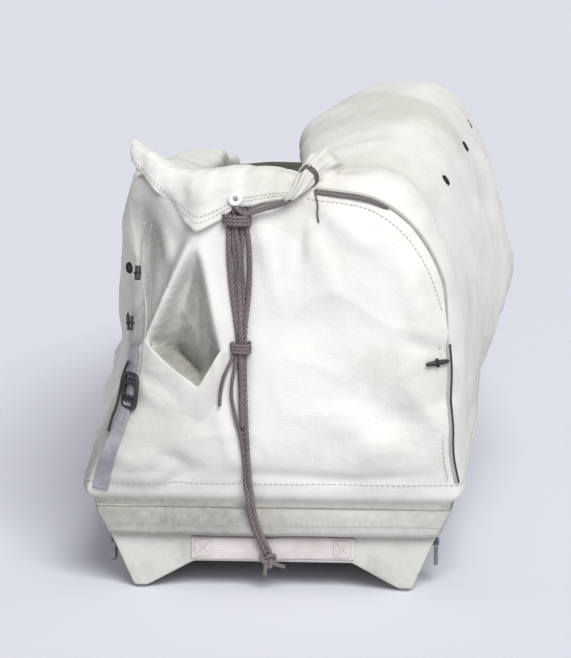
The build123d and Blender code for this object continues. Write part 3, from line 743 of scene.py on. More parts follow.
@dataclass(frozen=True)
class LaidRope(Finish):
    """Three-strand rope of natural fibre, laid and weathered: dull brown-grey, hairy, with painted shade in its
    grooves.
    """

    title: str = "laid_rope"
    fibre: str = "#9C9090"
    # Colour of the grooves between yarns, as painted shade, and of weathered patches.
    dark: str = "#5F5555"
    yarn: float = 0.0016

    def paint(self, graph: Graph) -> dict:
        """Yarns as slanted bands on the strand's own texture map, with fibres from fine noise."""
        bands = graph.bands("DIAGONAL", self.yarn, 1.5)
        shade = graph.ramp(graph.join("MULTIPLY", bands, graph.noise(18.0, 3.0)), 0.05, 0.5)
        return {
            "Base Color": graph.mix(shade, self.dark, self.fibre),
            "Roughness": 0.9,
            "Normal": graph.bump(graph.join("ADD", bands, graph.noise(700.0, 3.0)), 0.7, 0.0004),
        }


@dataclass(frozen=True)
class TarredCord(LaidRope):
    """Thin cord, dyed dark and faded: charcoal, matt, with painted shade in its grooves."""

    title: str = "tarred_cord"
    fibre: str = "#5A5658"
    dark: str = "#2E2C2F"
    yarn: float = 0.0012


@dataclass(frozen=True)
class CottonCord(LaidRope):
    """Braided cotton cord, bleached: near white, matt and a little fuzzy."""

    title: str = "cotton_cord"
    fibre: str = "#DAD8D2"
    dark: str = "#A8A6A0"
    yarn: float = 0.0012


@dataclass(frozen=True)
class Webbing(Finish):
    """Woven strap: lengthwise ribs crossed by fine picks, faded unevenly by sun and snow."""

    title: str = "faded_webbing"
    fresh: str = "#E4D4D1"
    faded: str = "#F0E8E5"
    rib: float = 0.0026

    def paint(self, graph: Graph) -> dict:
        """Ribs and picks as two bands on the strap's texture map, with fading from noise."""
        height = graph.join("MULTIPLY", graph.bands("Y", self.rib), graph.bands("X", self.rib / 2, 0.5))
        colour = graph.mix(graph.ramp(graph.noise(26.0, 5.0), 0.35, 0.65), self.fresh, self.faded)
        return {
            "Base Color": graph.mix(1.0, colour, graph.ramp(height, start=0.8), kind="MULTIPLY"),
            "Roughness": 0.85,
            "Normal": graph.bump(height, 0.7, 0.0005),
        }


@dataclass(frozen=True)
class GreyWebbing(Webbing):
    """Grey strap of polyester, woven like the faded one and cleaner."""

    title: str = "grey_webbing"
    fresh: str = "#9D9BA3"
    faded: str = "#BDBBC2"


@dataclass(frozen=True)
class Metal(Finish):
    """Steel with a dull zinc coat: grey, softly crystalline, brighter and duller in patches."""

    title: str = "zinc_steel"
    plate: str = "#A7A9AB"
    dull: str = "#7D7F80"
    roughness: float = 0.42
    grain: float = 60.0

    def paint(self, graph: Graph) -> dict:
        """Two greys and a varying gloss from one noise."""
        cells = {"Vector": graph.solid, "Scale": self.grain * 4}
        spangle = add_node(graph.tree, "ShaderNodeTexVoronoi", cells).outputs["Color"]
        cloud = graph.noise(self.grain, 4.0)
        grey = graph.ramp(graph.mix(0.25, cloud, spangle), 0.3, 0.7)
        return {
            "Base Color": graph.mix(grey, self.dull, self.plate),
            "Metallic": 1.0,
            "Roughness": graph.ramp(cloud, start=self.roughness - 0.12, end=self.roughness + 0.15),
            "Normal": graph.bump(cloud, 0.2, 0.0002),
        }


@dataclass(frozen=True)
class WearStrip(Metal):
    """Aluminium strip, ground by snow and grit: pale, with a satin gloss."""

    title: str = "worn_aluminium"
    plate: str = "#C9CACB"
    dull: str = "#9FA1A2"
    roughness: float = 0.38


@dataclass(frozen=True)
class DarkBrass(Metal):
    """Brass eyelets, blackened: dark brown-grey, lighter in patches."""

    title: str = "dark_brass"
    plate: str = "#4A4540"
    dull: str = "#2A2826"
    roughness: float = 0.5


@dataclass(frozen=True)
class Moulding(Finish):
    """Moulded plastic with a fine spark-eroded grain: matt, with a rubbed tone in patches."""

    title: str = "white_moulding"
    base: str = "#D2D3CC"
    rubbed: str = "#BFC0B9"
    roughness: float = 0.5

    def paint(self, graph: Graph) -> dict:
        """Two tones from noise, with a fine grain in the bump."""
        cloud = graph.noise(30.0, 6.0, Roughness=0.7)
        return {
            "Base Color": graph.mix(graph.ramp(cloud, 0.42, 0.68), self.base, self.rubbed),
            "Roughness": graph.ramp(cloud, start=self.roughness - 0.1, end=self.roughness + 0.15),
            "Normal": graph.bump(graph.noise(900.0, 2.0), 0.25, 0.0002),
        }


@dataclass(frozen=True)
class BlackNylon(Moulding):
    """Glass-filled nylon, moulded black: satin, greyed in patches."""

    title: str = "black_nylon"
    base: str = "#26262A"
    rubbed: str = "#3A3A40"
    roughness: float = 0.45


@dataclass(frozen=True)
class WhiteNylon(Moulding):
    """Nylon ring, moulded white: smooth and faintly glossy."""

    title: str = "white_nylon"
    base: str = "#F4F4F2"
    rubbed: str = "#E6E6E2"
    roughness: float = 0.35


@dataclass(frozen=True)
class PaleGround(Finish):
    """Packed snow read as a plain studio floor: pale, matt, with hardly any relief."""

    title: str = "pale_ground"
    tone: str = "#DFE1EB"

    def paint(self, graph: Graph) -> dict:
        """One colour, and a faint grain from noise."""
        relief = graph.bump(graph.noise(14.0, 6.0), 0.12, 0.004)
        return {"Base Color": linear(self.tone), "Roughness": 0.95, "Normal": relief}


@dataclass(frozen=True)
class SledLines:
    """Main lines of the sled in metres. A place along it is its distance ahead of the transom, and X is
    counted from the hull's middle."""

    middle: float
    stern: float
    length: float
    half_width: float
    rim_height: float = 0.165
    foot_half_width: float = 0.228
    foot_flat: float = 0.020
    tunnel_depth: float = 0.042
    tunnel_slope: float = 0.076
    bow_rim_rise: float = 0.135
    bow_foot_rise: float = 0.242
    shoe: float = 0.003
    wall: float = 0.005
    # Share of the length, then shares of the rim's half-width and rise, the foot's, and the tunnel's depth
    table: tuple = (
        (0.0, 0.967, 0.0, 0.982, 0.0, 1.0),
        (0.05, 0.967, 0.0, 0.982, 0.0, 1.0),
        (0.22, 1.0, 0.0, 1.0, 0.0, 1.0),
        (0.45, 1.0, 0.0, 1.0, 0.0, 1.0),
        (0.63, 0.984, 0.04, 0.982, 0.0, 1.0),
        (0.76, 0.885, 0.15, 0.877, 0.09, 0.86),
        (0.85, 0.754, 0.35, 0.724, 0.306, 0.57),
        (0.92, 0.59, 0.59, 0.561, 0.563, 0.33),
        (0.962, 0.443, 0.79, 0.417, 0.776, 0.19),
        (1.0, 0.279, 1.0, 0.241, 1.0, 0.1),
    )

    @classmethod
    def from_frame(cls) -> "SledLines":
        """Reads the stern, the length and the half-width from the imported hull."""
        low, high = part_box("hull_shell")
        half_width, middle = (high.x - low.x) / 2, (high.x + low.x) / 2
        return cls(middle=middle, stern=low.y, length=high.y - low.y, half_width=half_width)

    def row(self, ahead: Array) -> Array:
        """Row of the table at places along the sled."""
        return eased(self.table, np.asarray(ahead) / self.length)

    def rim(self, ahead: Array) -> tuple[Array, Array]:
        """Half-width and height of the hull's rim."""
        row = self.row(ahead)
        return self.half_width * row[..., 0], self.rim_height + self.bow_rim_rise * row[..., 1]

    def foot(self, ahead: Array) -> tuple[Array, Array]:
        """Half-width and height of the runner foot's outer edge."""
        row = self.row(ahead)
        return self.foot_half_width * row[..., 2], self.shoe + self.bow_foot_rise * row[..., 3]

    def tunnel(self, ahead: Array) -> Array:
        """Share of the tunnel's full depth."""
        return self.row(ahead)[..., 4]

    def flare(self, ahead: Array) -> Array:
        """Slope of the hull's side."""
        (rim_x, rim_z), (foot_x, foot_z) = self.rim(ahead), self.foot(ahead)
        return (rim_x - foot_x) / (rim_z - foot_z)


@dataclass
class HullSkin:
    """Moulded tray: flared sides, two feet, a raised tunnel, a flat transom and a blunt bow."""

    lines: SledLines
    chine: float = 0.010
    edge: float = 0.005
    stations: int = 150
    across: int = 220
    # Turns of the rounded edge, and shares of the way from it to the plate's level edge
    edge_turns: tuple = (0.35, 0.7, 1.0)
    plate_shares: tuple = (0.12, 0.3, 0.55, 0.8, 1.0)

    def profile(self, ahead: Array) -> Array:
        """Outside of the hull across the sled: a quadratic B-spline whose corners have three close points.

        Args:
            ahead: Places along the sled.

        Returns:
            Points as places, columns and (x, z).
        """
        lines = self.lines
        (rim_x, rim_z), (foot_x, foot_z), tunnel = lines.rim(ahead), lines.foot(ahead), lines.tunnel(ahead)
        inner = foot_x - lines.foot_flat
        corners = [
            (rim_x, rim_z),
            (foot_x, foot_z),
            (inner, foot_z),
            (inner - lines.tunnel_slope * tunnel, foot_z + lines.tunnel_depth * tunnel),
        ]
        points = [(-x, z) for x, z in corners] + corners[::-1]
        control = np.stack([np.stack(point, -1) for point in points], 1)
        spread = [control[:, 0]]
        for index in range(1, control.shape[1] - 1):
            here = control[:, index]
            for other in (control[:, index - 1], here, control[:, index + 1]):
                away = other - here
                reach = 0.4 * np.linalg.norm(away, axis=-1, keepdims=True)
                spread.append(here + unit(away) * np.minimum(self.chine, reach))
        spread = np.stack(spread + [control[:, -1]], 1)
        return lofted(spread, spread[0], 900, self.across)

    def build(self) -> None:
        """Lofts the tray, closes its transom and bow with flat plates and rounds the edge between them."""
        lines = self.lines
        ahead = np.linspace(self.edge, lines.length - self.edge, self.stations)
        skin = self.profile(ahead)
        y = lines.stern + ahead
        rows = [upright(skin, y[:, None])]
        for end, sign in ((0, -1), (-1, 1)):
            outline = skin[end]
            level = np.linspace(outline[0, 0], outline[-1, 0], self.across)
            away = np.stack([level, np.full(self.across, outline[0, 1])], -1) - outline
            reach = np.maximum(np.linalg.norm(away, axis=1, keepdims=True), 1e-9)
            plate = []
            for turn in self.edge_turns:
                inset = self.edge * (1 - math.cos(turn * math.pi / 2))
                out = sign * self.edge * math.sin(turn * math.pi / 2)
                point = outline + away / reach * np.minimum(inset, reach)
                plate.append(upright(point, y[end] + out))
            last = plate[-1]
            target = upright(outline + away, last[:, 1])
            plate += [last + (target - last) * share for share in self.plate_shares]
            rows.insert(0 if end == 0 else len(rows), np.array(plate[::-1] if end == 0 else plate))
        work = Patchwork()
        work.add_grid(np.concatenate(rows))
        work.piece("hull_skin", GelCoat(), replaces=["hull_shell"], slot="fibreglass", wall=lines.wall)


@dataclass
class CanvasForm:
    """Shape of the cover: control curves that run round the sled, one for each row from the hem up, with
    a quadratic B-spline across them. Lengths are in metres."""

    lines: SledLines
    mouth_front: float = 1.25
    deck_front: float = 2.15
    corner_start: float = 0.06
    rise: float = 0.55
    skin: float = 0.0055
    rail: float = 0.0043
    crown: float = 0.004
    hem_drop: float = 0.072
    fall: float = 0.062
    lip: float = 0.045
    rows: int = 122
    wall_columns: int = 100
    rear_columns: int = 186
    waist_row: int = 8
    # Share of the hull's length, then rise, widths low down, at the flank, the waist and the shoulder
    right_cover: tuple = (
        (0.0, 0.915, 1.02, 1.02, 1.02, 0.64),
        (0.05, 0.95, 1.01, 1.05, 1.06, 0.69),
        (0.11, 0.985, 0.99, 1.12, 1.12, 0.76),
        (0.16, 1.0, 0.98, 1.14, 1.16, 0.8),
        (0.22, 1.0, 0.985, 1.165, 1.165, 0.785),
        (0.28, 0.995, 0.975, 1.15, 1.175, 0.805),
        (0.34, 0.975, 0.985, 1.17, 1.165, 0.785),
        (0.395, 0.94, 0.98, 1.15, 1.165, 0.79),
        (0.45, 0.86, 1.0, 1.13, 1.11, 0.75),
        (0.5, 0.72, 1.02, 1.06, 1.03, 0.72),
    )
    left_cover: tuple = (
        (0.0, 0.915, 0.96, 0.82, 0.795, 0.75),
        (0.05, 0.925, 0.965, 0.82, 0.805, 0.755),
        (0.11, 0.94, 0.975, 0.835, 0.84, 0.765),
        (0.16, 0.95, 0.985, 0.86, 0.87, 0.785),
        (0.22, 0.96, 1.0, 0.905, 0.895, 0.77),
        (0.28, 0.95, 0.995, 0.92, 0.925, 0.79),
        (0.34, 0.93, 1.015, 0.965, 0.925, 0.765),
        (0.395, 0.9, 1.01, 0.975, 0.95, 0.765),
        (0.45, 0.83, 1.03, 1.01, 0.945, 0.73),
        (0.5, 0.7, 1.03, 1.005, 0.965, 0.7),
    )
    bow_cover: tuple = (
        (0.56, 0.555, 1.045, 1.02, 0.97, 0.68),
        (0.63, 0.4, 1.03, 0.985, 0.93, 0.62),
        (0.76, 0.245, 1.01, 0.95, 0.88, 0.52),
        (0.85, 0.164, 1.0, 0.93, 0.85, 0.46),
        (0.92, 0.1, 1.0, 0.92, 0.83, 0.42),
        (0.962, 0.062, 1.0, 0.9, 0.8, 0.4),
        (1.0, 0.05, 1.0, 0.9, 0.8, 0.4),
    )
    # Share of the length, and height of the deck's folds beside its middle and on it, in metres
    deck_folds: tuple = (
        (0.56, 0.0, 0.0),
        (0.6, 0.0144, -0.008),
        (0.65, 0.0048, 0.0144),
        (0.7, 0.016, -0.0032),
        (0.75, 0.0048, 0.0128),
        (0.8, 0.0112, 0.0),
        (0.85, 0.0032, 0.0064),
        (1.0, 0.0, 0.0),
    )
    # Share of the mouth's length, then height, half-width of the mouth and fall of its edge
    left_wall: tuple = (
        (0.0, 1.0, 0.46, 0.0),
        (0.15, 0.95, 0.47, 0.1),
        (0.3, 0.88, 0.5, 0.2),
        (0.5, 0.8, 0.5, 0.2),
        (0.7, 0.78, 0.48, 0.1),
        (0.86, 0.87, 0.46, 0.0),
        (1.0, 1.0, 0.43, 0.0),
    )
    right_wall: tuple = (
        (0.0, 1.0, 0.2, 0.3),
        (0.11, 1.01, 0.08, 0.7),
        (0.39, 1.02, 0.03, 1.0),
        (0.57, 1.01, 0.25, 0.6),
        (0.75, 1.0, 0.43, 0.1),
        (1.0, 1.0, 0.43, 0.0),
    )
    # For each row from the hem up: distance behind the transom, place of the right and the left corner
    # ahead of it, and how far out the flat back reaches to the right and to the left
    rear: tuple = (
        (0.0125, -0.01, -0.01, 0.93, 0.93),
        (0.015, -0.011, -0.011, 0.93, 0.93),
        (0.0125, -0.009, -0.009, 0.93, 0.93),
        (0.002, 0.001, 0.001, 0.93, 0.93),
        (0.015, -0.011, -0.011, 0.93, 0.93),
        (0.018, -0.011, -0.011, 0.92, 0.92),
        (0.042, -0.004, -0.006, 0.86, 0.84),
        (0.048, 0.0, 0.004, 0.84, 0.76),
        (0.049, 0.004, 0.024, 0.83, 0.62),
        (0.043, 0.008, 0.046, 0.82, 0.5),
        (0.026, 0.014, 0.042, 0.8, 0.6),
        (-0.015, 0.03, 0.04, 0.9, 0.9),
        (-0.025, 0.04, 0.045, 0.9, 0.9),
        (-0.022, 0.04, 0.045, 0.9, 0.9),
    )

    def section(self, ahead: Array, side: Side, deck: bool = False) -> Array:
        """Control points of the canvas across one side, from the hem up.

        Args:
            ahead: Places along the sled.
            side: Side of the sled.
            deck: Takes the closed deck instead of the wall beside the mouth.

        Returns:
            Points as places, rows and (x, z), with x outwards.
        """
        lines = self.lines
        cover = (self.right_cover if side is Side.RIGHT else self.left_cover) + self.bow_cover
        rise, low, flank, waist, shoulder = np.moveaxis(eased(cover, ahead / lines.length), -1, 0)
        height, mouth, fall = np.ones_like(ahead), np.zeros_like(ahead), np.zeros_like(ahead)
        if not deck:
            table = self.right_wall if side is Side.RIGHT else self.left_wall
            height, mouth, fall = np.moveaxis(eased(table, ahead / self.mouth_front), -1, 0)
        (rim_x, rim_z), (_, foot_z) = lines.rim(ahead), lines.foot(ahead)
        flare = lines.flare(ahead)
        drop = np.minimum(self.hem_drop, 0.6 * (rim_z - foot_z))
        size = drop / self.hem_drop
        rise = self.rise * rise * height
        edge = rim_x + self.rail + self.skin
        hem = rim_x - flare * drop + self.skin * np.hypot(1, flare)
        top = rim_z + rise
        base = rim_z + self.crown + self.skin
        points = [
            (hem, rim_z - drop),
            (hem + (flare * 0.030 + 0.003) * size, rim_z - drop + 0.030 * size),
            (edge - flare * 0.026 * size - 0.003 * size, rim_z - 0.032 * size),
            (edge - flare * 0.018 * size - 0.014 * size, rim_z - 0.021 * size),
            (edge + 0.002, rim_z - 0.008 * size),
            (edge + 0.004, rim_z + 0.010),
            (np.maximum(edge - rise * 0.06, rim_x * low), base + rise * 0.13),
            (rim_x * flank + 0.003 * size, base + rise * 0.31),
            (rim_x * waist, rim_z + rise * 0.54),
            (rim_x * (waist + (shoulder - waist) * 0.40) + 0.012 * size, rim_z + rise * 0.80),
            (rim_x * shoulder + 0.012 * size, top + 0.003),
        ]
        if deck:
            beside, middle = np.moveaxis(eased(self.deck_folds, ahead / lines.length), -1, 0)
            points += [
                (rim_x * shoulder * 0.55, top + 1.5 * beside + 0.004),
                (rim_x * shoulder * 0.12, top + 1.4 * middle + 0.003),
            ]
        else:
            inner = rim_x * mouth
            points += [
                (inner + (rim_x * shoulder - inner) * 0.45, top),
                (inner, top - self.fall * fall),
                (inner + 0.022, top - self.fall * fall - self.lip),
            ]
        return np.stack([np.stack(point, -1) for point in points], 1)

    def control_curves(self) -> Array:
        """Control points from the mouth's front on the right, round the stern, to its front on the left."""
        y = self.lines.stern
        ahead = np.linspace(self.mouth_front, self.corner_start, self.wall_columns)
        right, left = (
            upright(self.section(ahead, side) * (side.value, 1), (y + ahead)[:, None])
            for side in (Side.RIGHT, Side.LEFT)
        )
        back, corner_r, corner_l, flat_r, flat_l = np.asarray(self.rear).T
        (x_r, _, z_r), (x_l, _, z_l) = right[-1].T, left[-1].T
        z = (z_r + z_l) / 2
        plan = np.stack([
            right[-1],
            np.stack([x_r, y + corner_r, z_r], -1),
            np.stack([x_r * flat_r, y - back, z], -1),
            np.stack([(x_r * flat_r + x_l * flat_l) / 2, y - back - 0.002, z], -1),
            np.stack([x_l * flat_l, y - back, z], -1),
            np.stack([x_l, y + corner_l, z_l], -1),
            left[-1],
        ], 1)
        stern = lofted(plan, plan[self.waist_row], 400, self.rear_columns).swapaxes(0, 1)
        return np.concatenate([right, stern[1:-1], left[::-1]])

    def surface(self) -> Array:
        """Smooth cover without folds, as perimeter, rows and XYZ."""
        curves = self.control_curves()
        return lofted(curves, curves[len(curves) // 2], 600, self.rows)


def canvas(name: str, grid: Array, grime_and_painted_shade: Array, covered: Sequence[str], flip: bool = False) -> Object:
    """Makes a piece of canvas, darkened by a painted value of dirt and painted shade.

    Args:
        name: Name of the piece.
        grid: Its points as rows, columns and XYZ.
        grime_and_painted_shade: Painted value of each point.
        covered: Nodes that it stands for.
        flip: Turns the faces round.

    Returns:
        The new object.
    """
    work = Patchwork()
    work.add_grid(grid, flip=flip, value=np.clip(grime_and_painted_shade, 0, 1))
    return work.piece(name, CottonDuck(), replaces=covered, slot="canvas", wall=CANVAS_WALL)


@dataclass
class CanvasBody:
    """Rear panel and both walls in one sheet, with its folds, sags and pocket."""

    form: CanvasForm
    flat: tuple = (3.06, 0.92)
    pleat_depth: float = 0.036
    pocket_depth: float = 0.040
    turn_depth: float = 0.026
    # Corners of the tucked pocket on the rear panel: top, left, bottom and right
    pocket: tuple = ((-0.119, 0.578), (-0.197, 0.407), (-0.116, 0.346), (-0.08, 0.402))
    # Bars on the rear panel in X and Z, on the walls in the distance ahead of the transom and Z
    rear_folds: tuple = (
        (-0.117, 0.6, -0.204, 0.395, 0.012, 0.016),
        (-0.136, 0.59, -0.225, 0.4, 0.016, -0.006),
        (-0.114, 0.592, -0.076, 0.4, 0.01, 0.008),
        (-0.18, 0.235, -0.12, 0.205, 0.014, -0.008),
        (-0.12, 0.205, -0.175, 0.178, 0.012, -0.007),
        (-0.255, 0.22, -0.19, 0.215, 0.026, 0.009),
        (-0.27, 0.19, -0.15, 0.186, 0.012, 0.006),
        (-0.29, 0.3, -0.2, 0.39, 0.014, -0.007),
        (-0.235, 0.36, -0.15, 0.3, 0.016, 0.007),
        (-0.06, 0.2, 0.14, 0.188, 0.009, -0.004),
        (0.06, 0.186, 0.24, 0.196, 0.008, -0.004),
        (0.06, 0.3, 0.25, 0.24, 0.03, 0.008),
        (0.1, 0.25, 0.29, 0.33, 0.022, -0.006),
        (0.15, 0.33, 0.275, 0.2, 0.034, -0.013),
        (0.21, 0.36, 0.285, 0.26, 0.018, 0.007),
        (0.02, 0.44, 0.12, 0.46, 0.035, -0.007),
        (0.04, 0.64, 0.1, 0.5, 0.018, 0.006),
        (0.06, 0.65, 0.17, 0.56, 0.016, 0.006),
        (0.055, 0.655, 0.04, 0.52, 0.012, -0.005),
        (-0.02, 0.63, 0.01, 0.48, 0.014, 0.005),
        (0.18, 0.6, 0.25, 0.43, 0.02, 0.006),
        (0.215, 0.42, 0.29, 0.4, 0.012, -0.006),
        (-0.045, 0.62, -0.048, 0.12, 0.014, -0.007),
        (-0.09, 0.33, -0.05, 0.2, 0.016, 0.006),
        (-0.23, 0.6, -0.215, 0.43, 0.02, -0.008),
        (-0.19, 0.61, -0.16, 0.52, 0.014, 0.006),
    )
    right_folds: tuple = (
        (0.1, 0.66, 0.35, 0.45, 0.03, 0.01),
        (0.2, 0.62, 0.6, 0.52, 0.025, -0.008),
        (0.08, 0.3, 0.5, 0.22, 0.03, 0.008),
        (0.45, 0.7, 0.7, 0.35, 0.04, 0.012),
        (0.8, 0.62, 0.95, 0.3, 0.03, -0.01),
        (0.6, 0.25, 1.1, 0.22, 0.025, 0.008),
        (1.0, 0.45, 1.2, 0.25, 0.022, 0.008),
        (0.3, 0.38, 0.8, 0.4, 0.045, 0.01),
    )
    left_folds: tuple = (
        (0.08, 0.6, 0.3, 0.3, 0.03, 0.012),
        (0.1, 0.45, 0.26, 0.22, 0.02, -0.01),
        (0.25, 0.55, 0.55, 0.28, 0.035, 0.012),
        (0.5, 0.58, 0.75, 0.3, 0.03, -0.01),
        (0.8, 0.55, 0.95, 0.25, 0.035, 0.01),
        (0.3, 0.22, 1.0, 0.23, 0.025, 0.008),
        (1.0, 0.4, 1.22, 0.24, 0.02, -0.007),
    )

    @property
    def stern(self) -> float:
        """Y of the hull's transom."""
        return self.form.lines.stern

    def pocket_drop(self, x: Array, z: Array) -> Array:
        """Depth of the tuck: the panel turns in leftwards up to the ridge and down to the V of the flap.

        Args:
            x: Places across the rear panel.
            z: Heights.

        Returns:
            Distances to sink the panel.
        """
        (top_x, top_z), (left_x, left_z), (low_x, low_z), (right_x, right_z) = self.pocket
        ridge = np.interp(z, [low_z, left_z, top_z], [low_x, left_x, top_x])
        right = np.interp(z, [low_z, right_z, top_z], [low_x, right_x, top_x])
        width = np.maximum(right - ridge, 0.012)
        pleat = np.clip((right - x) / width, 0, 1) * step(x, ridge - 0.0045, ridge + 0.0045)
        pleat = pleat * (1 - step(z, top_z - 0.075, top_z)) * step(z, low_z - 0.030, low_z + 0.02)
        upper = np.interp(x, [left_x, top_x, right_x], [left_z, top_z, right_z])
        lower = np.interp(x, [left_x, low_x, right_x], [left_z, low_z, right_z])
        share = np.clip((upper - z) / np.maximum(upper - lower, 0.02), 0, 1)
        ends = step(x, left_x - 0.004, left_x + 0.030) * (1 - step(x, right_x - 0.020, right_x + 0.006))
        back = 1 - step(lower - z, 0.004, 0.038)
        turned = step(z, low_z, left_z + 0.06) * (1 - step(z, top_z - 0.02, top_z + 0.08))
        away = self.turn_depth * np.clip((ridge - x) / 0.095, 0, 1) ** 1.2 * turned
        return (self.pleat_depth * pleat + self.pocket_depth * share ** 2.2 * ends) * back + away

    def relief(self, points: Array, pocket: bool = True) -> Array:
        """Height of all folds above the smooth cover.

        Args:
            points: Points of the smooth cover.
            pocket: Sinks the pocket too.

        Returns:
            Distance outwards at each point.
        """
        lines = self.form.lines
        x, ahead, z = points[..., 0], points[..., 1] - lines.stern, points[..., 2]
        rear = 1 - step(ahead, 0.02, 0.10)
        free = step(z, lines.rim_height + 0.012, lines.rim_height + 0.075)
        height = 0.0026 * waves(points, 0.36, 9, 3) + 0.0010 * waves(points, 0.10, 12, 5, (1, 1, 1.4))
        slanted = points + (0, 0.45, 0) * points[..., 2:]
        hanging = np.clip(1 - np.abs(waves(slanted, 0.26, 7, 11, (1.0, 1.2, 0.28))), 0, 1)
        crumple = np.clip(1 - np.abs(waves(points, 0.12, 6, 13, (1, 0.7, 1.2))), 0, 1)
        height = height + 0.0065 * hanging ** 3 * (0.35 + 0.65 * (1 - rear)) + 0.0020 * crumple ** 4
        pulls = np.abs(waves(points, 0.045, 6, 17, (1, 1, 0.15)))
        height = height + 0.0012 * (1 - pulls) * (1 - step(z, 0.19, 0.30))
        height = height * free
        places = np.stack([x, z], -1)
        height = height + rear * folded(places, self.rear_folds)
        if pocket:
            height = height - rear * self.pocket_drop(x, z)
        places = np.stack([ahead, z], -1)
        for side, folds in ((Side.RIGHT, self.right_folds), (Side.LEFT, self.left_folds)):
            height = height + (1 - rear) * (x * side.value > 0) * folded(places, folds)
        return height

    def painted_shade_and_dirt(self) -> Array:
        """Share of dirt and painted shade: dirt along the hem, a greyer tone on the left below mid-height,
        painted shade on slopes that face left, in the groove under the rail, in the tuck and on the right wall,
        and dirt with painted shade on the band below the rail.
        """
        x, y, z = np.moveaxis(self.points, -1, 0)
        rim = self.form.lines.rim_height
        low = 1 - step(z, rim - 0.03, rim + 0.15)
        left = step(-x, 0.02, 0.16) * (1 - step(z, 0.36, 0.60))
        below = 1 - step(z, rim - 0.035, rim - 0.015)
        # Painted shade in the tucked pocket, darkest just above the flap's V lip.
        tuck = np.clip(self.pocket_drop(x, z) / (0.7 * self.pocket_depth + self.pleat_depth), 0, 1)
        _, (left_x, left_z), (low_x, low_z), (right_x, right_z) = self.pocket
        edge = np.interp(x, [left_x, low_x, right_x], [left_z, low_z, right_z])
        inside = step(x, left_x, left_x + 0.012) * (1 - step(x, right_x - 0.012, right_x))
        tuck = np.maximum(tuck, 0.95 * bell(z - edge - 0.008, 0.024) * inside)
        tuck = tuck * (y < self.stern + 0.06) * (x > -0.21)
        # Painted shade on slopes that face left, at the rear.
        turned = np.clip(-self.normals[..., 0] - 0.25, 0, 1) * (1 - step(y, -1.13, -1.0))
        # Dirt along the hem and a greyer tone on the left below mid-height, with the painted shade of
        # left-facing slopes.
        grime_and_painted_shade = 0.14 * low + 0.24 * left + 1.10 * turned
        grime_and_painted_shade = grime_and_painted_shade * (0.88 + 0.16 * waves(self.points, 0.14, 8, 23))
        # Painted shade in the groove under the rail, and in the tuck.
        grime_and_painted_shade = grime_and_painted_shade + 0.50 * bell(z - rim + 0.020, 0.010) + 1.25 * tuck
        # Painted shade on the right wall above the hem.
        grime_and_painted_shade = grime_and_painted_shade + 0.16 * step(x, 0.22, 0.32) * (1 - low)
        # Dirt and painted shade on the band below the rail.
        grime_and_painted_shade = grime_and_painted_shade + below * (0.62 + 0.10 * waves(self.points, 0.20, 8, 29))
        return grime_and_painted_shade

    def build(self) -> "CanvasBody":
        """Displaces the smooth cover along its normals and makes the piece."""
        smooth = self.form.surface()
        normals = -grid_normals(smooth)
        self.points = smooth + normals * self.relief(smooth)[..., None]
        self.normals = -grid_normals(self.points)
        self.plain = smooth + normals * self.relief(smooth, pocket=False)[..., None]
        self.plain_normals = -grid_normals(self.plain)
        covered = ["cover_rear", "cover_left", "cover_right"]
        piece = canvas("canvas_body", self.points, self.painted_shade_and_dirt(), covered, flip=True)
        return self

    def laid(
        self, places: Places, lift: Number = 0.0, face: Face = Face.REAR, side: Optional[Side] = None
    ) -> tuple[Array, Array]:
        """Finds points on the cover without its pocket from two of their coordinates.

        Args:
            places: Two coordinates of each point, as the face names them, with Y counted from the transom.
            lift: Distance off the cloth.
            face: Face of the cover.
            side: Side of the sled, for a flank.

        Returns:
            The points and the cloth's normals there.
        """
        points, normals = self.plain.reshape(-1, 3), self.plain_normals.reshape(-1, 3)
        if face is Face.REAR:
            keep = (points[:, 1] < self.stern + 0.09) & (normals[:, 1] < -0.15)
        else:
            keep = (points[:, 0] * side.value > 0.1) & (normals[:, 0] * side.value > 0.1)
        places = np.asarray(places, float) + [self.stern * (axis == 1) for axis in face.value]
        return on_cloth(points[keep], normals[keep], places, face.value, lift)


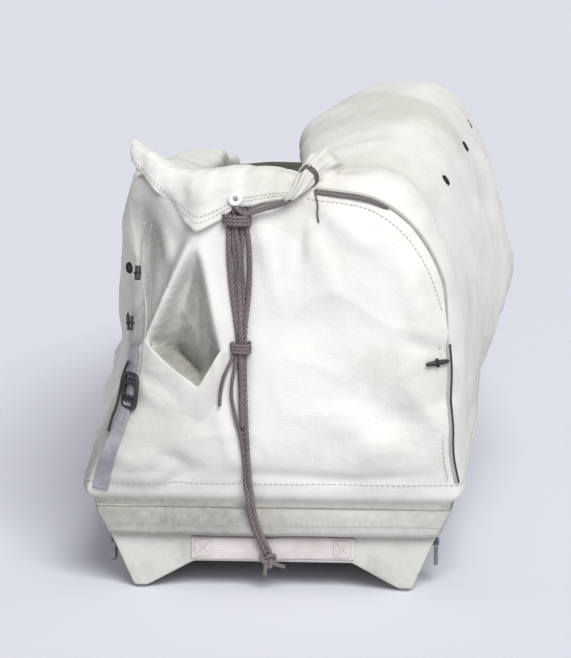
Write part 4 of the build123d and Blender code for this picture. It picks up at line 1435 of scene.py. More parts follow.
@dataclass
class DeckCanvas:
    """Canvas over the bow: the same rows from hem to hem, sagging a little between its lacing."""

    form: CanvasForm
    flat: tuple = (1.05, 0.92)
    lace_start: float = 1.36
    lace_end: float = 1.98
    lace_pitch: float = 0.052
    lace_half: float = 0.021
    columns: int = 120
    rows: int = 170
    folds: tuple = (
        (1.3, 0.14, 1.7, 0.03, 0.03, 0.008),
        (1.28, -0.12, 1.62, -0.02, 0.03, 0.008),
        (1.45, 0.0, 2.0, 0.0, 0.022, -0.006),
        (1.55, 0.2, 1.95, 0.08, 0.025, 0.006),
        (1.55, -0.2, 1.9, -0.07, 0.025, 0.006),
        (1.75, 0.12, 2.1, 0.04, 0.018, -0.005),
    )
    lace_radius: float = 0.0022
    slit_radius: float = 0.0020
    slit_ends: tuple = (-0.04, 0.03)
    stitch_rows: tuple = (-0.03, -0.009, 0.009, 0.03)
    # At the deck's front: how far each added row reaches ahead, is drawn in and falls
    fronts: tuple = (
        (0.006, 0, 0.06), (0.013, 0.005, 0.28), (0.017, 0.01, 0.62), (0.018, 0.02, 1), (0.01, 0.05, 1.12),
    )

    def build(self) -> "DeckCanvas":
        """Carries the section along the bow and displaces it by folds seen from above."""
        form, lines = self.form, self.form.lines
        ahead = np.linspace(form.mouth_front - 0.004, form.deck_front, self.columns)
        half = form.section(ahead, Side.RIGHT, deck=True)
        control = np.concatenate([half, (half * (-1, 1))[:, ::-1]], 1)
        flat = lofted(control, control[self.columns // 3], 900, self.rows)
        smooth = upright(flat, (lines.stern + ahead)[:, None])
        rim = lines.rim(ahead)[1][:, None]
        free = step(smooth[..., 2], rim + 0.008, rim + 0.05)
        height = 0.004 * waves(smooth, 0.22, 9, 31) + 0.002 * waves(smooth, 0.08, 12, 37)
        height = height + 0.003 * np.clip(1 - np.abs(waves(smooth, 0.14, 7, 41)), 0, 1) ** 3
        height = height + folded(smooth[..., 1::-1] - (lines.stern, 0), self.folds)
        points = smooth + grid_normals(smooth) * (height * free)[..., None]
        end, level = points[-1], rim[-1, 0] + 0.004
        over = np.maximum(end[:, 2] - level, 0)
        upper = 0.12 + 0.88 * step(end[:, 2], level - 0.018, level + 0.004)
        fronts = [
            end + np.stack([-end[:, 0] * inset, reach * upper, -over * fall], -1)
            for reach, inset, fall in self.fronts
        ]
        self.points = np.concatenate([points, np.stack(fronts)])
        self.normals = grid_normals(self.points)
        rim = np.concatenate([rim, np.repeat(rim[-1:], len(fronts), 0)])
        low = 1 - step(self.points[..., 2], rim - 0.03, rim + 0.10)
        # Only dirt towards the hem here, with no painted shade.
        grime_and_painted_shade = 0.35 * low * (0.7 + 0.5 * waves(self.points, 0.12, 8, 43))
        piece = canvas("canvas_deck", self.points, grime_and_painted_shade, ["cover_deck"])
        self.lace()
        return self

    def on_top(self, places: Places, lift: float = 0.0) -> tuple[Array, Array]:
        """Points on the deck's top and its normals there, from X and the distance ahead of the transom."""
        flat, normals = self.points.reshape(-1, 3), self.normals.reshape(-1, 3)
        keep = normals[:, 2] > 0.3
        places = np.asarray(places, float) + (0, self.form.lines.stern)
        return on_cloth(flat[keep], normals[keep], places, (0, 1), lift)

    def pairs(self) -> Array:
        """Places of the eyelets as (side, pair, XY), with X and the distance ahead of the transom."""
        ahead = np.arange(self.lace_start, self.lace_end, self.lace_pitch)
        x = np.array([-self.lace_half, self.lace_half])
        return np.stack(np.broadcast_arrays(x[:, None], ahead), -1)

    def lacing_seats(self) -> tuple[Array, Array]:
        """Seats of the eyelet pairs along the deck's middle, and their normals."""
        return self.on_top(self.pairs().reshape(-1, 2), 0.0010)

    def lace(self) -> None:
        """Makes the covered slit and the cord that zigzags over it."""
        zigzag = self.pairs()[::-1].swapaxes(0, 1).reshape(-1, 2)
        steps = np.linspace(0, len(zigzag) - 1, 12 * len(zigzag))
        dense = np.stack([np.interp(steps, np.arange(len(zigzag)), zigzag[:, axis]) for axis in range(2)], -1)
        arch = 0.0022 + 0.0030 * np.abs(np.sin(math.pi * steps))
        path, out = self.on_top(dense)
        cord, welt, thread = Patchwork(), Patchwork(), Patchwork()
        cord.add_cord(path + out * arch[:, None], self.lace_radius, UP, 0.012)
        cord.piece("deck_lacing", CottonCord(), slot="rope")
        before, after = self.slit_ends
        slit = np.stack([np.zeros(120), np.linspace(self.lace_start + before, self.lace_end + after, 120)], -1)
        line, out = self.on_top(slit)
        welt.add_tube(line - out * 0.0006, self.slit_radius, 8, UP)
        welt.piece("deck_slit", TarredCord())
        for x in self.stitch_rows:
            thread.add_stitches(line + (x, 0, 0) + out * 0.0006, out, *LONG_STITCH, THREAD)
        thread.piece("deck_stitches", CottonCord())


@dataclass
class PocketFlap:
    """Canvas flap below the tucked pocket: its V-shaped lip stands off the panel and is rolled inwards."""

    body: CanvasBody
    lip: tuple = (
        (-0.206, 0.414), (-0.162, 0.374), (-0.123, 0.35), (-0.116, 0.341), (-0.109, 0.349), (-0.097, 0.37),
        (-0.073, 0.41),
    )
    low: tuple = (
        (-0.24, 0.36), (-0.192, 0.3), (-0.14, 0.264), (-0.117, 0.256), (-0.1, 0.264), (-0.076, 0.296),
        (-0.048, 0.362),
    )
    columns: int = 96
    rows: int = 30
    stand: float = 0.0115
    roll: float = 0.0030
    flat: tuple = (0.24, 0.11)

    def build(self) -> None:
        """Lays rows from the lip down onto the panel, sinks the other borders into it and rolls the lip."""
        lip, low = smooth_line(self.lip, self.columns), smooth_line(self.low, self.columns)
        down = np.linspace(0, 1, self.rows)[:, None]
        over = np.linspace(0, 1, self.columns)[None]
        places = lip + (low - lip) * down[..., None]
        ends = step(over, 0, 0.16) * (1 - step(over, 0.84, 1))
        lift = -0.0014 + self.stand * ends * (1 - step(down, 0.0, 0.85))
        lift = lift + 0.0012 * np.sin(over * 31.0 + down * 3.0) * ends * (1 - down)
        laid = self.body.laid(places.reshape(-1, 2), lift.reshape(-1))
        grid, out = (part.reshape(self.rows, self.columns, 3) for part in laid)
        turn = rolled(grid[0], unit(grid[0] - grid[1]), out[0], self.roll, 0.014)
        grid = np.concatenate([turn[::-1], grid])
        thread = Patchwork()
        piece = canvas("pocket_flap", grid, 0.26 + 0.10 * waves(grid, 0.07, 7, 61), ["cover_corner_fold"])
        seam = self.body.laid(lip + (low - lip) * 0.13, 0.0062 * ends[0] - 0.0008)
        thread.add_stitches(*seam, *SHORT_STITCH, THREAD)
        thread.piece("pocket_stitches", CottonCord())


@dataclass
class CanvasCollar:
    """Collar of the rear panel: canvas turned out over its top edge, pointed at the left and deepest at a V."""

    body: CanvasBody
    top: tuple = (
        (-0.229, 0.714), (-0.198, 0.699), (-0.14, 0.679), (-0.124, 0.677), (-0.085, 0.684), (-0.045, 0.687),
        (0.005, 0.686), (0.044, 0.679),
    )
    low: tuple = (
        (-0.23, 0.694), (-0.184, 0.653), (-0.129, 0.604), (-0.118, 0.597), (-0.09, 0.609), (-0.056, 0.634),
        (-0.005, 0.648), (0.044, 0.654),
    )
    columns: int = 130
    rows: int = 60
    inside: float = 0.060
    stand: float = 0.010
    roll: float = 0.0030
    flat: tuple = (0.31, 0.15)
    # Share of the way down and distance off the panel, for each row outside
    outside: tuple = ((0.22, 0.006), (0.45, 0.008), (0.72, 0.009), (1.0, 0.011))
    # Height where the panel turns in, and how it leans on above that
    panel_top: float = 0.640
    panel_lean: float = 0.22

    def back(self, x: Array, z: Array, lift: float) -> Array:
        """Depth of the rear panel at a place, and of its slope carried on above its top."""
        held = np.minimum(z, self.panel_top)
        depth = self.body.laid(np.stack([x, held], -1), lift)[0][:, 1] + (z - held) * self.panel_lean
        return softened(depth, 29, "reflect") - 0.002

    def build(self) -> None:
        """Bends control rows from inside the mouth over the top edge and down the rear panel."""
        top, low = smooth_line(self.top, self.columns), smooth_line(self.low, self.columns)
        over = np.linspace(0, 1, self.columns)
        x, z = top.T
        crest = self.back(x, z, 0.003)
        wave = 0.004 * np.sin(over * 17.0) + 0.003 * np.sin(over * 41.0 + 1.0)
        inner = crest + self.inside
        rows = [
            np.stack([x * 0.99, inner, z - 0.050], -1),
            np.stack([x * 0.99, inner - 0.006, z - 0.012], -1),
            np.stack([x * 0.995, inner - 0.016, z + 0.006], -1),
            np.stack([x, crest + 0.004, z + 0.005 + 0.4 * wave], -1),
        ]
        for share, stand in self.outside:
            px, pz = (top + (low - top) * share).T
            rows.append(np.stack([px, self.back(px, pz, stand) - wave * share, pz], -1))
        control = np.stack(rows, 1)
        grid = lofted(control, control[self.columns // 2], 400, self.rows).swapaxes(0, 1)
        creases = 0.0015 * waves(grid, 0.055, 9, 71, (1, 1, 1.5)) + 0.0008 * waves(grid, 0.02, 8, 73)
        grid = grid + grid_normals(grid) * creases[..., None]
        out = grid_normals(grid)
        full = np.concatenate([grid, rolled(grid[-1], unit(grid[-1] - grid[-2]), out[-1], self.roll, 0.012)])
        # The lower rows get dirt and painted shade; painted shade also darkens the collar near its V.
        low_rows_dirt_and_shade = step(np.arange(len(full)) / len(full), 0.72, 0.95)[:, None]
        painted_v_shade = bell(full[..., 0] + 0.132, 0.036) * bell(full[..., 2] - 0.640, 0.030)
        grime_and_painted_shade = 0.16 * low_rows_dirt_and_shade * (1 + 0.6 * waves(full, 0.05, 7, 79)) + 0.36 * painted_v_shade
        thread = Patchwork()
        piece = canvas("canvas_collar", full, grime_and_painted_shade, ["cover_collar"])
        for row in (-4, -7):
            thread.add_stitches(grid[row] + out[row] * 0.0004, out[row], 0.0070, 0.0048, 0.00065)
        thread.piece("collar_stitches", CottonCord())


@dataclass
class TiedGather:
    """Where the right wall's edge is drawn together and tied down to the rear panel's top."""

    body: CanvasBody
    path: tuple = (
        (0.122, 0.078, 0.664), (0.102, 0.05, 0.682), (0.082, 0.014, 0.69), (0.065, -0.018, 0.687),
        (0.053, -0.04, 0.676), (0.044, -0.051, 0.664), (0.033, -0.055, 0.655), (0.022, -0.051, 0.649),
    )
    radii: tuple = (0.006, 0.02, 0.028, 0.027, 0.0185, 0.015, 0.019, 0.004)
    lobes: int = 6
    tie: float = 0.68
    flat: tuple = (0.12, 0.105)
    turns: float = 3.4
    hoop: float = 0.0172
    cord: float = 0.0017
    tail: tuple = ((0.069, 0.66), (0.071, 0.65), (0.075, 0.638), (0.073, 0.624), (0.076, 0.612))
    count: int = 80
    sides: int = 108

    def build(self) -> None:
        """Carries a pleated ring along the gather and winds a cord round its neck."""
        line = smooth_line(np.array(self.path) + (0, self.body.stern, 0), self.count)
        radius = smooth_line([(value, 0) for value in self.radii], self.count)[:, :1]
        ahead = unit(np.gradient(line, axis=0))
        out = unit(np.cross(ahead, (1.0, 0.2, 0.0)))
        over = np.cross(ahead, out)
        angle = (TURN * np.arange(self.sides) / self.sides)[None]
        along = np.linspace(0, 1, self.count)[:, None]
        pleat = 0.15 * np.cos(self.lobes * angle + 1.8 * np.sin(6 * along))
        pleat = pleat + 0.10 * np.cos(4 * angle - 9 * along) + 0.05 * np.cos(11 * angle + 5 * along)
        pleat = pleat * (0.25 + 0.75 * step(along, 0.10, 0.45)) * (1 - 0.75 * bell(along - self.tie, 0.07))
        grid = line[:, None] + (radius * (1 + pleat))[..., None] * spokes(self.sides, out, 0.8 * over)
        work, cord = Patchwork(), Patchwork()
        # The painted value is a faint even tone, with painted shade in the hollows between the pleats.
        work.add_grid(grid, around=True, caps=True, value=np.clip(0.08 - 0.9 * pleat, 0, 0.5))
        piece = work.piece("gathered_canvas", CottonDuck())
        seat = int(self.tie * self.count)
        wound = coil(self.turns, 300, self.hoop * out[seat], 0.85 * self.hoop * over[seat], 0.013 * ahead[seat])
        cord.add_cord(line[seat] - 0.0065 * ahead[seat] + wound, self.cord, ahead[seat])
        tail = self.body.laid(self.tail, 0.0022)[0]
        cord.add_cord(smooth_line(tail, 36), self.cord, BACK)
        cord.piece("gather_cord", LaidRope(), slot="rope")


@dataclass
class Lashing:
    """Rope down the rear panel: strands from a ring under the collar, its knot and its loose tails."""

    body: CanvasBody
    radius: float = 0.0047
    strands: tuple = (
        (
            (-0.067, 0.64), (-0.067, 0.6), (-0.066, 0.545), (-0.061, 0.49), (-0.053, 0.43), (-0.049, 0.38),
            (-0.0455, 0.299), (-0.042, 0.23), (-0.041, 0.178),
        ),
        (
            (-0.044, 0.64), (-0.035, 0.6), (-0.031, 0.55), (-0.032, 0.5), (-0.04, 0.44), (-0.0405, 0.38),
            (-0.0385, 0.3), (-0.036, 0.23), (-0.034, 0.178),
        ),
        (
            (-0.06, 0.64), (-0.057, 0.6), (-0.049, 0.555), (-0.053, 0.51), (-0.05, 0.46), (-0.047, 0.42),
            (-0.047, 0.35), (-0.044, 0.28),
        ),
        (
            (-0.05, 0.64), (-0.043, 0.595), (-0.047, 0.55), (-0.041, 0.505), (-0.046, 0.45), (-0.043, 0.4),
            (-0.042, 0.34),
        ),
        (
            (-0.056, 0.64), (-0.062, 0.59), (-0.055, 0.54), (-0.058, 0.48), (-0.047, 0.44), (-0.05, 0.39),
            (-0.046, 0.33),
        ),
    )
    lifts: tuple = (0.005, 0.0055, 0.01, 0.0065, 0.0065)
    shares: tuple = (1, 0.95, 0.9, 0.85, 0.8)
    fine_pitch: float = 0.021
    loose_radius: float = 0.0031
    across_radius: float = 0.0042
    across_lift: float = 0.017
    # Strand that bows to the left and comes back, and the tail that ends loose
    bow: tuple = (
        (-0.05, 0.425), (-0.058, 0.385), (-0.0655, 0.34), (-0.06, 0.3), (-0.049, 0.266), (-0.045, 0.235),
    )
    tail: tuple = ((-0.05, 0.44), (-0.056, 0.405), (-0.07, 0.375), (-0.079, 0.348), (-0.081, 0.316))
    # Ends of the two long strands past the rail, as x, distance behind the transom and height
    foot: tuple = (
        (-0.0385, 0.03, 0.168), (-0.0365, 0.026, 0.14), (-0.03, 0.019, 0.11), (-0.019, 0.013, 0.08),
        (-0.01, 0.011, 0.062),
    )
    across: tuple = (
        (-0.056, 0.632), (-0.045, 0.622), (-0.028, 0.622), (-0.008, 0.63), (0.015, 0.636), (0.038, 0.646),
        (0.05, 0.656),
    )
    knot: tuple = (-0.007, 0.013, 0.053)
    ends: tuple = (
        ((-0.006, 0.014, 0.05), (0.008, 0.013, 0.045), (0.02, 0.01, 0.04)),
        ((-0.009, 0.014, 0.048), (-0.013, 0.015, 0.036), (-0.011, 0.013, 0.026)),
    )
    # Coils round the strands: seat, distance off the panel, half-width, half-depth, rise and radius of rope
    coils: tuple = (
        ((-0.0545, 0.622), 0.01, 0.0205, 0.0125, 0.0055, 0.0033),
        ((-0.047, 0.418), 0.007, 0.0145, 0.0105, 0.005, 0.0029),
    )
    coil_turns: float = 3.2
    knot_size: float = 0.0040
    knot_radius: float = 0.0036
    end_radius: float = 0.0034
    ring_seat: tuple = (-0.0556, 0.634)
    ring_radius: float = 0.0078
    ring_wire: float = 0.0042

    def on_panel(self, line: Places, lift: float) -> Array:
        """Points on the rear panel, lifted off it."""
        return self.body.laid(line, lift)[0]

    def behind(self, line: Places) -> Array:
        """Points from X, the distance behind the transom and Z."""
        return np.array(line) * (1, -1, 1) + (0, self.body.stern, 0)

    def evened(self, points: Array) -> Array:
        """Smooth line through control points, with a point every 2.5 mm."""
        return smooth_line(points, max(12, int(travelled(points)[-1] / 0.0025)))

    def build(self) -> None:
        """Lays the strands, winds the coils and ties the knot on the webbing."""
        work, ring = Patchwork(), Patchwork()
        for index, (line, lift) in enumerate(zip(self.strands, self.lifts)):
            path = self.on_panel(line, lift)
            if index < 2:
                path = np.concatenate([path, self.behind(self.foot) + (0.0065 * index, 0, 0.002 * index)])
            work.add_rope(self.evened(path), self.radius * self.shares[index], BACK)
        for line, lift in ((self.bow, 0.008), (self.tail, 0.007)):
            work.add_rope(self.evened(self.on_panel(line, lift)), self.loose_radius, BACK, self.fine_pitch)
        work.add_rope(self.evened(self.on_panel(self.across, self.across_lift)), self.across_radius, BACK)
        for place, lift, wide, deep, rise, radius in self.coils:
            drop = np.array([0, 0, -rise * self.coil_turns])
            wound = coil(self.coil_turns, 260, np.array([wide, 0, 0]), np.array([0, deep, 0]), drop)
            work.add_rope(self.on_panel([place], lift) + wound, radius, UP, self.fine_pitch)
        loop = np.linspace(0, TURN, 220)
        x, z = np.sin(loop) + 2 * np.sin(2 * loop), np.cos(loop) - 2 * np.cos(2 * loop)
        trefoil = self.behind([self.knot]) + self.knot_size * np.stack([x, 0.75 * np.sin(3 * loop), z], -1)
        work.add_rope(trefoil, self.knot_radius, (0.02, -1, 0.03), self.fine_pitch)
        for end in self.ends:
            work.add_rope(self.evened(self.behind(end)), self.end_radius, BACK)
        work.piece("lashing", LaidRope(), replaces=["lashing_rope"], slot="rope")
        eye = self.on_panel([self.ring_seat], 0.0) + (0, -0.014, 0.013)
        hoop = eye + self.ring_radius * upright(circle(40), 0.0)
        ring.add_hoop(hoop, eye, (0.0, 1.0, 0.0), self.ring_wire, 14)
        ring.piece("lashing_ring", WhiteNylon())


@dataclass
class Seams:
    """Piping, stitched seams, eyelets and toggles of the cover."""

    body: CanvasBody
    deck: "DeckCanvas"
    # Seam of the rear panel from the gather over its shoulder; below it the seam follows the corner
    shoulder: tuple = (
        (0.06, 0.66), (0.1, 0.656), (0.161, 0.648), (0.208, 0.617), (0.237, 0.583), (0.259, 0.544),
        (0.273, 0.505), (0.281, 0.474),
    )
    corner_width: int = 31
    shoulder_radius: float = 0.0036
    right_piping: float = 0.0027
    left_piping: float = 0.0020
    corner_cord_and_shadow: float = 0.0019
    front_piping: float = 0.0030
    hem_height: float = 0.136
    hem_cord: float = 0.0021
    stitch_heights: tuple = (0.101, 0.112, 0.182)
    loop_cord: float = 0.0016
    seam_thread: float = 0.0008
    right_eyelets: tuple = ((0.18, 0.64), (0.42, 0.655), (0.68, 0.65), (0.92, 0.615))
    left_eyelets: tuple = ((0.05, 0.516), (0.05, 0.433), (0.36, 0.56), (0.62, 0.52), (0.88, 0.5))
    hem_eyelets: float = 0.108
    washer: tuple = ((0.0052, 0.0004), (0.0062, 0.0019), (0.0086, 0.0016), (0.0098, -0.0008), (0.0052, -0.0008))
    right_toggle: tuple = (0.262, 0.387)
    left_toggles: tuple = (0.512, 0.43)

    def corner(self, side: Side, low: float, high: float, count: int) -> tuple[Array, Array]:
        """Line down a rear corner, where the cover's normal points halfway between back and side.

        Args:
            side: Side of the sled.
            low: Height of its foot.
            high: Height of its head.
            count: Number of points.

        Returns:
            The points and the cloth's normals there.
        """
        form = self.body.form
        stern = slice(form.wall_columns - 4, form.wall_columns + form.rear_columns + 4)
        points, normals = self.body.plain[stern], self.body.plain_normals[stern]
        tilt = np.abs(normals[..., 0] * side.value + normals[..., 1] * 0.9)
        tilt = np.where(points[..., 0] * side.value > 0.12, tilt, 9.0)
        best = softened(tilt.argmin(0), self.corner_width, "edge")
        column, rows = np.floor(best).astype(int), np.arange(points.shape[1])
        part = (best - column)[:, None]
        line = points[column, rows] * (1 - part) + points[column + 1, rows] * part
        line = line[(line[:, 2] > low) & (line[:, 2] < high)]
        line = line[np.argsort(line[:, 2])]
        path = smooth_line(line[np.linspace(0, len(line) - 1, 14).astype(int)], count)
        near = ((path[:, None] - points.reshape(-1, 3)[None]) ** 2).sum(-1).argmin(1)
        return path, normals.reshape(-1, 3)[near]

    def piping(self) -> None:
        """Brown cord over the right shoulder, piping down both corners and the front seams, a dark cord down
        the right corner that also stands in as painted shadow for the seam's shadow line, and stitches beside
        them.
        """
        cord, welt, dark, thread = Patchwork(), Patchwork(), Patchwork(), Patchwork()
        shoulder, out = self.body.laid(smooth_line(self.shoulder, 150), 0.0014)
        dive = 0.0026 - 0.0075 * step(np.arange(64), 50, 63)[:, None]
        line = smooth_line((shoulder[:64] + out[:64] * dive)[::3], 150) - (0, 0, 0.003)
        cord.add_rope(line, self.shoulder_radius, BACK, 0.018)
        cord.piece("shoulder_cord", LaidRope(), slot="rope")
        right, right_out = self.corner(Side.RIGHT, 0.185, 0.42, 120)
        left, left_out = self.corner(Side.LEFT, 0.180, 0.60, 160)
        line = np.concatenate([right[::10] + right_out[::10] * 0.0006, (shoulder + (0, 0, 0.004))[:138][::-12]])
        welt.add_tube(smooth_line(line, 260), self.right_piping, 10, (0.3, -1, 0))
        welt.add_tube(left + left_out * 0.0004, self.left_piping, 10, (-0.3, -1, 0))
        welt.piece("corner_piping", CottonCord(), slot="rope")
        # Dark cord down the right corner, which also stands in as painted shadow for the seam's shadow line.
        line = right + (0.004, -0.0005, 0) + right_out * 0.0022
        dark.add_cord(line, self.corner_cord_and_shadow, (0.3, -1, 0), 0.010)
        dark.piece("corner_cord_and_shadow", TarredCord(), slot="rope")
        beside = self.body.laid(smooth_line(np.array(self.shoulder) - (0.010, 0.012), 150), 0.0006)
        rows = (beside, (right + (-0.011, -0.006, 0), right_out), (left + (0.012, -0.005, 0), left_out))
        for path, up in rows:
            thread.add_stitches(path, up, *SHORT_STITCH, self.seam_thread)
        for name, column, ahead in (("front_seam_right", 0, 1), ("front_seam_left", -1, -2)):
            seam, out = self.body.plain[column, 4:-18], self.body.plain_normals[ahead, 4:-18]
            front = Patchwork()
            front.add_tube(smooth_line(seam[::5], 200), self.front_piping, 10, out.mean(0))
            front.piece(name, CottonCord(), slot="rope")
            line = seam + (0, -0.012, 0) + out * 0.0006
            thread.add_stitches(line, out, *LONG_STITCH, self.seam_thread)
        thread.piece("seam_stitches", CottonCord())

    def level(self, height: float, lift: float) -> tuple[Array, Array]:
        """Line round the cover at a height, off the cloth, and the cloth's normals there."""
        points, normals = self.body.plain[2:-2], self.body.plain_normals[2:-2]
        row = int(np.abs(self.body.plain[len(self.body.plain) // 2, :, 2] - height).argmin())
        return points[:, row] + normals[:, row] * lift, normals[:, row]

    def hem(self) -> None:
        """Cord in the groove under the rail and three lines of stitches beside it, all round the cover."""
        cord, thread = Patchwork(), Patchwork()
        cord.add_cord(self.level(self.hem_height, 0.0012)[0], self.hem_cord, UP, 0.012)
        cord.piece("hem_cord", CottonCord(), slot="rope")
        for height in self.stitch_heights:
            thread.add_stitches(*self.level(height, 0.0005), *LONG_STITCH, THREAD)
        thread.piece("hem_stitches", CottonCord())

    def eyelets(self) -> None:
        """Blackened eyelets on the right wall, at the left corner, along both hems and on the deck, with black
        discs of painted shade in their holes.
        """
        washer = revolved(self.washer, 14)
        hem = [(ahead, self.hem_eyelets) for ahead in np.linspace(0.10, 1.20, 9)]
        rows = (
            (self.right_eyelets, 0.0012, Side.RIGHT),
            (self.left_eyelets, 0.0012, Side.LEFT),
            (hem, 0.0010, Side.LEFT),
            (hem, 0.0010, Side.RIGHT),
        )
        found = [self.body.laid(row, lift, Face.FLANK, side) for row, lift, side in rows]
        places, outs = (np.concatenate(part) for part in zip(*found, self.deck.lacing_seats()))
        axes = standing(outs, (0.1, 0.2, 1.0))
        rings, holes = Patchwork(), Patchwork()
        rings.add_copies(washer, places, axes)
        rings.piece("eyelets", DarkBrass())
        # Black discs fill the holes, as painted shade for the cover's dark inside.
        holes.add_copies(capsule(0.0012, 0.0056, 12), places, axes[:, [2, 0, 1]])
        holes.piece("eyelet_hole_shade", BlackNylon())

    def toggles(self) -> None:
        """Toggle at the right corner and two at the left one, each with its loop of cord."""
        black, loops = Patchwork(), Patchwork()
        (seat,), (out,) = self.body.laid([self.right_toggle], 0.0050)
        along = unit(np.array([1.0, 0.0, 0.12]) - out * out[0])
        share = np.linspace(-1, 1, 24)
        black.add_tube(seat + 0.019 * share[:, None] * along, 0.0042 * (1 - 0.35 * np.abs(share) ** 3), 12, out)
        loops.add_cord(seat + coil(1, 60, 0.0060 * out, 0.0060 * np.cross(out, along)), self.loop_cord, along)
        for z in self.left_toggles:
            (seat,), (out,) = self.body.laid([(0.030, z)], 0.0075, Face.FLANK, Side.LEFT)
            along, over = unit(np.array([(0.0, 0.5, 1.0), (0.0, 1.0, -0.5)]))
            black.add_tube(seat + np.linspace(-0.011, 0.011, 20)[:, None] * along, 0.0048, 12, out)
            loops.add_cord(seat + coil(1, 60, 0.0068 * out, 0.0068 * over), self.loop_cord, (0, 0.5, 1.0))
        black.piece("toggles", BlackNylon())
        loops.piece("toggle_loops", TarredCord(), slot="rope")

    def build(self) -> None:
        """Makes the seams and all that is set into them."""
        self.piping()
        self.hem()
        self.eyelets()
        self.toggles()


@dataclass
class Straps:
    """Faded webbing on the transom, and the strap with its buckle round the left rear corner."""

    body: CanvasBody
    half_length: float = 0.131
    low: float = 0.050
    high: float = 0.088
    thickness: float = 0.0020
    strap: tuple = (
        (-0.276, 0.168), (-0.268, 0.205), (-0.25, 0.255), (-0.232, 0.3), (-0.224, 0.345), (-0.221, 0.4),
    )
    strap_half: float = 0.0125
    buckle: tuple = (-0.2225, 0.33)
    # Frames of the buckle: distance up from its middle, half-width, half-height and radius of the bar
    frames: tuple = ((0.0, 0.0185, 0.027, 0.0036), (0.001, 0.017, 0.0105, 0.003))
    bars: tuple = (0.016, -0.015)
    bar_half: float = 0.020
    bar_radius: float = 0.0034
    cord_radius: float = 0.0026
    hanging: tuple = (
        (-0.226, 0.372), (-0.235, 0.35), (-0.238, 0.325), (-0.243, 0.3), (-0.252, 0.28), (-0.256, 0.262),
    )

    def band(self, line: Array, out: Array, half: float, thickness: float) -> Patchwork:
        """Closed flat strap along a line: its section is a rounded bar.

        Args:
            line: Middle of the strap.
            out: Normals of what it lies on.
            half: Half of its width.
            thickness: Its thickness.

        Returns:
            The strap, ready to be made a piece.
        """
        ahead = unit(np.gradient(line, axis=0))
        over = unit(np.cross(ahead, out))
        spread = np.linspace(-1, 1, 14)
        face = np.stack([spread * half, thickness * (1 - 0.5 * spread ** 8)], -1)
        rear = np.stack([-spread * half, 0.15 * thickness * spread ** 8], -1)
        ring = np.concatenate([face, rear])
        work = Patchwork()
        grid = line[:, None] + ring[None, :, :1] * over[:, None] + ring[None, :, 1:] * out[:, None]
        work.add_grid(grid, around=True, caps=True, flip=True)
        return work

    def box_stitches(self) -> None:
        """Stitches the transom's band down with a crossed box at each end."""
        thread = Patchwork()
        y = self.body.stern - self.thickness - 0.0006
        low, high = self.low + 0.005, self.high - 0.005
        for sign in (-1, 1):
            far, near = sign * (self.half_length - 0.005), sign * (self.half_length - 0.033)
            corners = np.array([(far, low), (far, high), (near, low), (near, high)])
            for start, end in ((0, 1), (2, 3), (0, 2), (1, 3), (0, 3), (1, 2)):
                flat = corners[start] + (corners[end] - corners[start]) * np.linspace(0, 1, 20)[:, None]
                path = upright(flat, y)
                thread.add_stitches(path, np.broadcast_to(BACK, path.shape), 0.0042, 0.0032, 0.0006)
        thread.piece("box_stitches", CottonCord())

    def build(self) -> None:
        """Makes the transom's band with its box stitches, the side strap, the buckle and its cord."""
        x = np.linspace(-self.half_length, self.half_length, 110)
        sag = 0.0012 * np.sin(x * 23.0) - 0.0016 * bell(x + 0.007, 0.02)
        middle, half = (self.low + self.high) / 2, (self.high - self.low) / 2
        line = upright(np.stack([x, middle + sag], -1), self.body.stern - 0.0003)
        web = self.band(line, np.broadcast_to(BACK, line.shape), half, self.thickness)
        web.piece("transom_webbing", Webbing(), replaces=["transom_strap"], slot="webbing")
        self.box_stitches()
        line, out = self.body.laid(smooth_line(self.strap, 90), 0.0012)
        strap = self.band(line, unit(smooth_line(out[::6], 90)), self.strap_half, 0.0018)
        strap.piece("side_strap", GreyWebbing(), replaces=["side_strap_left"], slot="webbing")
        (seat,), (out,) = self.body.laid([self.buckle], 0.0048)
        up = unit(np.array([-0.02, 0.0, 1.0]) - out * out[2])
        over = np.cross(out, up)
        black, cord = Patchwork(), Patchwork()
        box = circle(48)
        box = box / (np.abs(box) ** 5).sum(-1, keepdims=True) ** 0.2
        for offset, wide, tall, thick in self.frames:
            centre = seat + up * offset
            black.add_hoop(centre + box[:, :1] * wide * over + box[:, 1:] * tall * up, centre, out, thick, 10)
        for offset in self.bars:
            bar = seat + np.linspace(-self.bar_half, self.bar_half, 16)[:, None] * over + up * offset
            black.add_tube(bar, self.bar_radius, 10, out)
        black.piece("side_buckle", BlackNylon(), replaces=["side_buckle_left"], slot="buckle")
        hanging = self.body.laid(self.hanging, 0.007)[0]
        cord.add_cord(smooth_line(hanging, 80), self.cord_radius, BACK, 0.014)
        cord.piece("side_cord", TarredCord(), slot="rope")


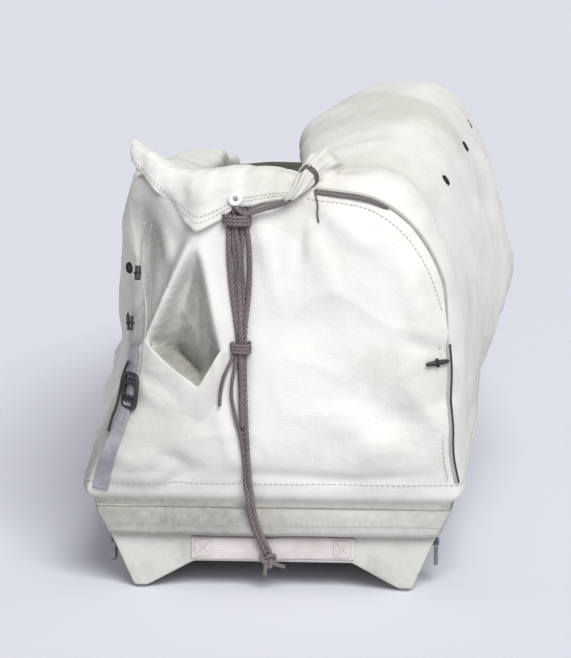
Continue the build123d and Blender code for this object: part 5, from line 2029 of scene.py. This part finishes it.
@dataclass
class Fixings:
    """Rivets and screw heads of the rails and the tow plate."""

    lines: SledLines
    plate: float = 0.004

    head: tuple = ((0.00001, 0.0022), (0.0028, 0.0018), (0.0046, 0.0006), (0.005, -0.0012), (0.00001, -0.0012))
    count: int = 17
    first: float = 0.12
    last: float = 2.05
    drop: float = 0.098
    plate_half: float = 0.036

    def build(self) -> None:
        """Sets round heads on the hull's sides and the bow plate."""
        lines = self.lines
        ahead = np.linspace(self.first, self.last, self.count)
        (rim_x, rim_z), flare = lines.rim(ahead), lines.flare(ahead)
        drop = self.drop * np.minimum(1, (rim_z - lines.foot(ahead)[1]) / 0.16)
        places, outs = [], []
        for side in Side:
            spot = np.stack([side.value * (rim_x - flare * drop), lines.stern + ahead, rim_z - drop], -1)
            outs.append(unit(np.stack([np.full(self.count, side.value), np.zeros(self.count), -flare], -1)))
            places.append(spot + outs[-1] * 0.0010)
        low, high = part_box("bow_tow_plate")
        y, z = low.y + self.plate, (low.z + high.z) / 2
        places.append([(-self.plate_half, y, z), (self.plate_half, y, z)])
        outs.append([(0.0, 1.0, 0.0)] * 2)
        places, outs = np.concatenate(places), np.concatenate(outs)
        work = Patchwork()
        work.add_copies(revolved(self.head, 10), places, standing(outs, (0.1, 0.3, 1.0)))
        work.piece("rivets", Metal())


@dataclass
class Studio:
    """Floor, soft light and a camera where the photograph's stood."""

    lines: SledLines
    camera_right: float = 0.43
    camera_back: float = 6.58
    camera_height: float = 1.85
    target_right: float = 0.002
    target_ahead: float = 0.30
    target_height: float = 0.365
    lens: float = 232.0
    sensor: float = 36.0
    world_strength: float = 0.40
    sky: str = "#F3F3F6"
    far_snow: str = "#E3E6F1"
    key_strength: float = 2.75
    key_width_deg: float = 34.0
    key_from: tuple = (0.24, -0.66, 0.72)
    far: float = 60.0
    floor_half: float = 14.0
    floor_ends: tuple = (-9.0, 60.0)
    floor_points: tuple = (9, 13)

    def view(self, scene: bpy.types.Scene) -> None:
        """Sets the camera behind the sled and a little to the right."""
        camera = bpy.data.objects.new("camera", bpy.data.cameras.new("camera"))
        scene.collection.objects.link(camera)
        camera.data.lens = self.lens
        camera.data.sensor_width = self.sensor
        camera.data.clip_end = self.far
        middle, stern = self.lines.middle, self.lines.stern
        camera.location = (middle + self.camera_right, stern - self.camera_back, self.camera_height)
        target = Vector((middle + self.target_right, stern + self.target_ahead, self.target_height))
        camera.rotation_euler = (target - camera.location).to_track_quat("-Z", "Y").to_euler()
        scene.camera = camera

    def light(self, scene: bpy.types.Scene) -> None:
        """Lights the sled by a dim sky and one broad lamp; the camera sees far snow in place of the sky."""
        world = bpy.data.worlds.new("sky")
        world.use_nodes = True
        tree = world.node_tree
        back = tree.nodes["Background"]
        feed(tree, back, {"Color": linear(self.sky), "Strength": self.world_strength})
        seen = add_node(tree, "ShaderNodeBackground", {"Color": linear(self.far_snow), "Strength": 1.0})
        direct = add_node(tree, "ShaderNodeLightPath").outputs["Is Camera Ray"]
        mixed = add_node(tree, "ShaderNodeMixShader", {0: direct, 1: back.outputs[0], 2: seen.outputs[0]})
        feed(tree, tree.nodes["World Output"], {"Surface": mixed.outputs[0]})
        scene.world = world
        lamp = bpy.data.objects.new("overcast", bpy.data.lights.new("overcast", "SUN"))
        lamp.data.energy = self.key_strength
        lamp.data.angle = math.radians(self.key_width_deg)
        lamp.rotation_euler = Vector(self.key_from).to_track_quat("Z", "Y").to_euler()
        scene.collection.objects.link(lamp)

    def floor(self, scene: bpy.types.Scene) -> None:
        """Lays the pale floor."""
        over, ahead = self.floor_points
        x, y = np.linspace(-self.floor_half, self.floor_half, over), np.linspace(*self.floor_ends, ahead)
        places = np.meshgrid(x, y, 0.0, indexing="ij")
        mesh = bpy.data.meshes.new("ground")
        faces = quads(np.arange(over * ahead).reshape(over, ahead))
        mesh.from_pydata(np.stack(places, -1).reshape(-1, 3).tolist(), [], faces.tolist())
        mesh.materials.append(PaleGround().material())
        ground = bpy.data.objects.new("ground", mesh)
        scene.collection.objects.link(ground)

    def build(self) -> None:
        """Makes the camera, the sky, the lamp and the floor."""
        scene = bpy.context.scene
        scene.view_settings.view_transform = "Standard"
        self.view(scene)
        self.light(scene)
        self.floor(scene)


def main() -> None:
    """Builds every sub-assembly in order."""
    logging.basicConfig(level=logging.INFO, format="%(name)s %(message)s")
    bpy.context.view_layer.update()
    lines = SledLines.from_frame()
    Patchwork.middle = lines.middle
    Studio(lines).build()
    HullSkin(lines).build()
    form = CanvasForm(lines)
    body = CanvasBody(form).build()
    deck = DeckCanvas(form).build()
    PocketFlap(body).build()
    CanvasCollar(body).build()
    TiedGather(body).build()
    Lashing(body).build()
    Seams(body, deck).build()
    Straps(body).build()
    Fixings(lines).build()
    Moulding().dress("gunwale_left", "gunwale_right", "transom_rail", "bow_rail")
    WearStrip().dress("runner_shoe_left", "runner_shoe_right")
    Metal().dress("bow_tow_plate", "bow_tow_ring")
    Metal().dress("stern_clip_left", "stern_clip_right", "stern_ring_left", "stern_ring_right")


if __name__ == "__main__":
    main()
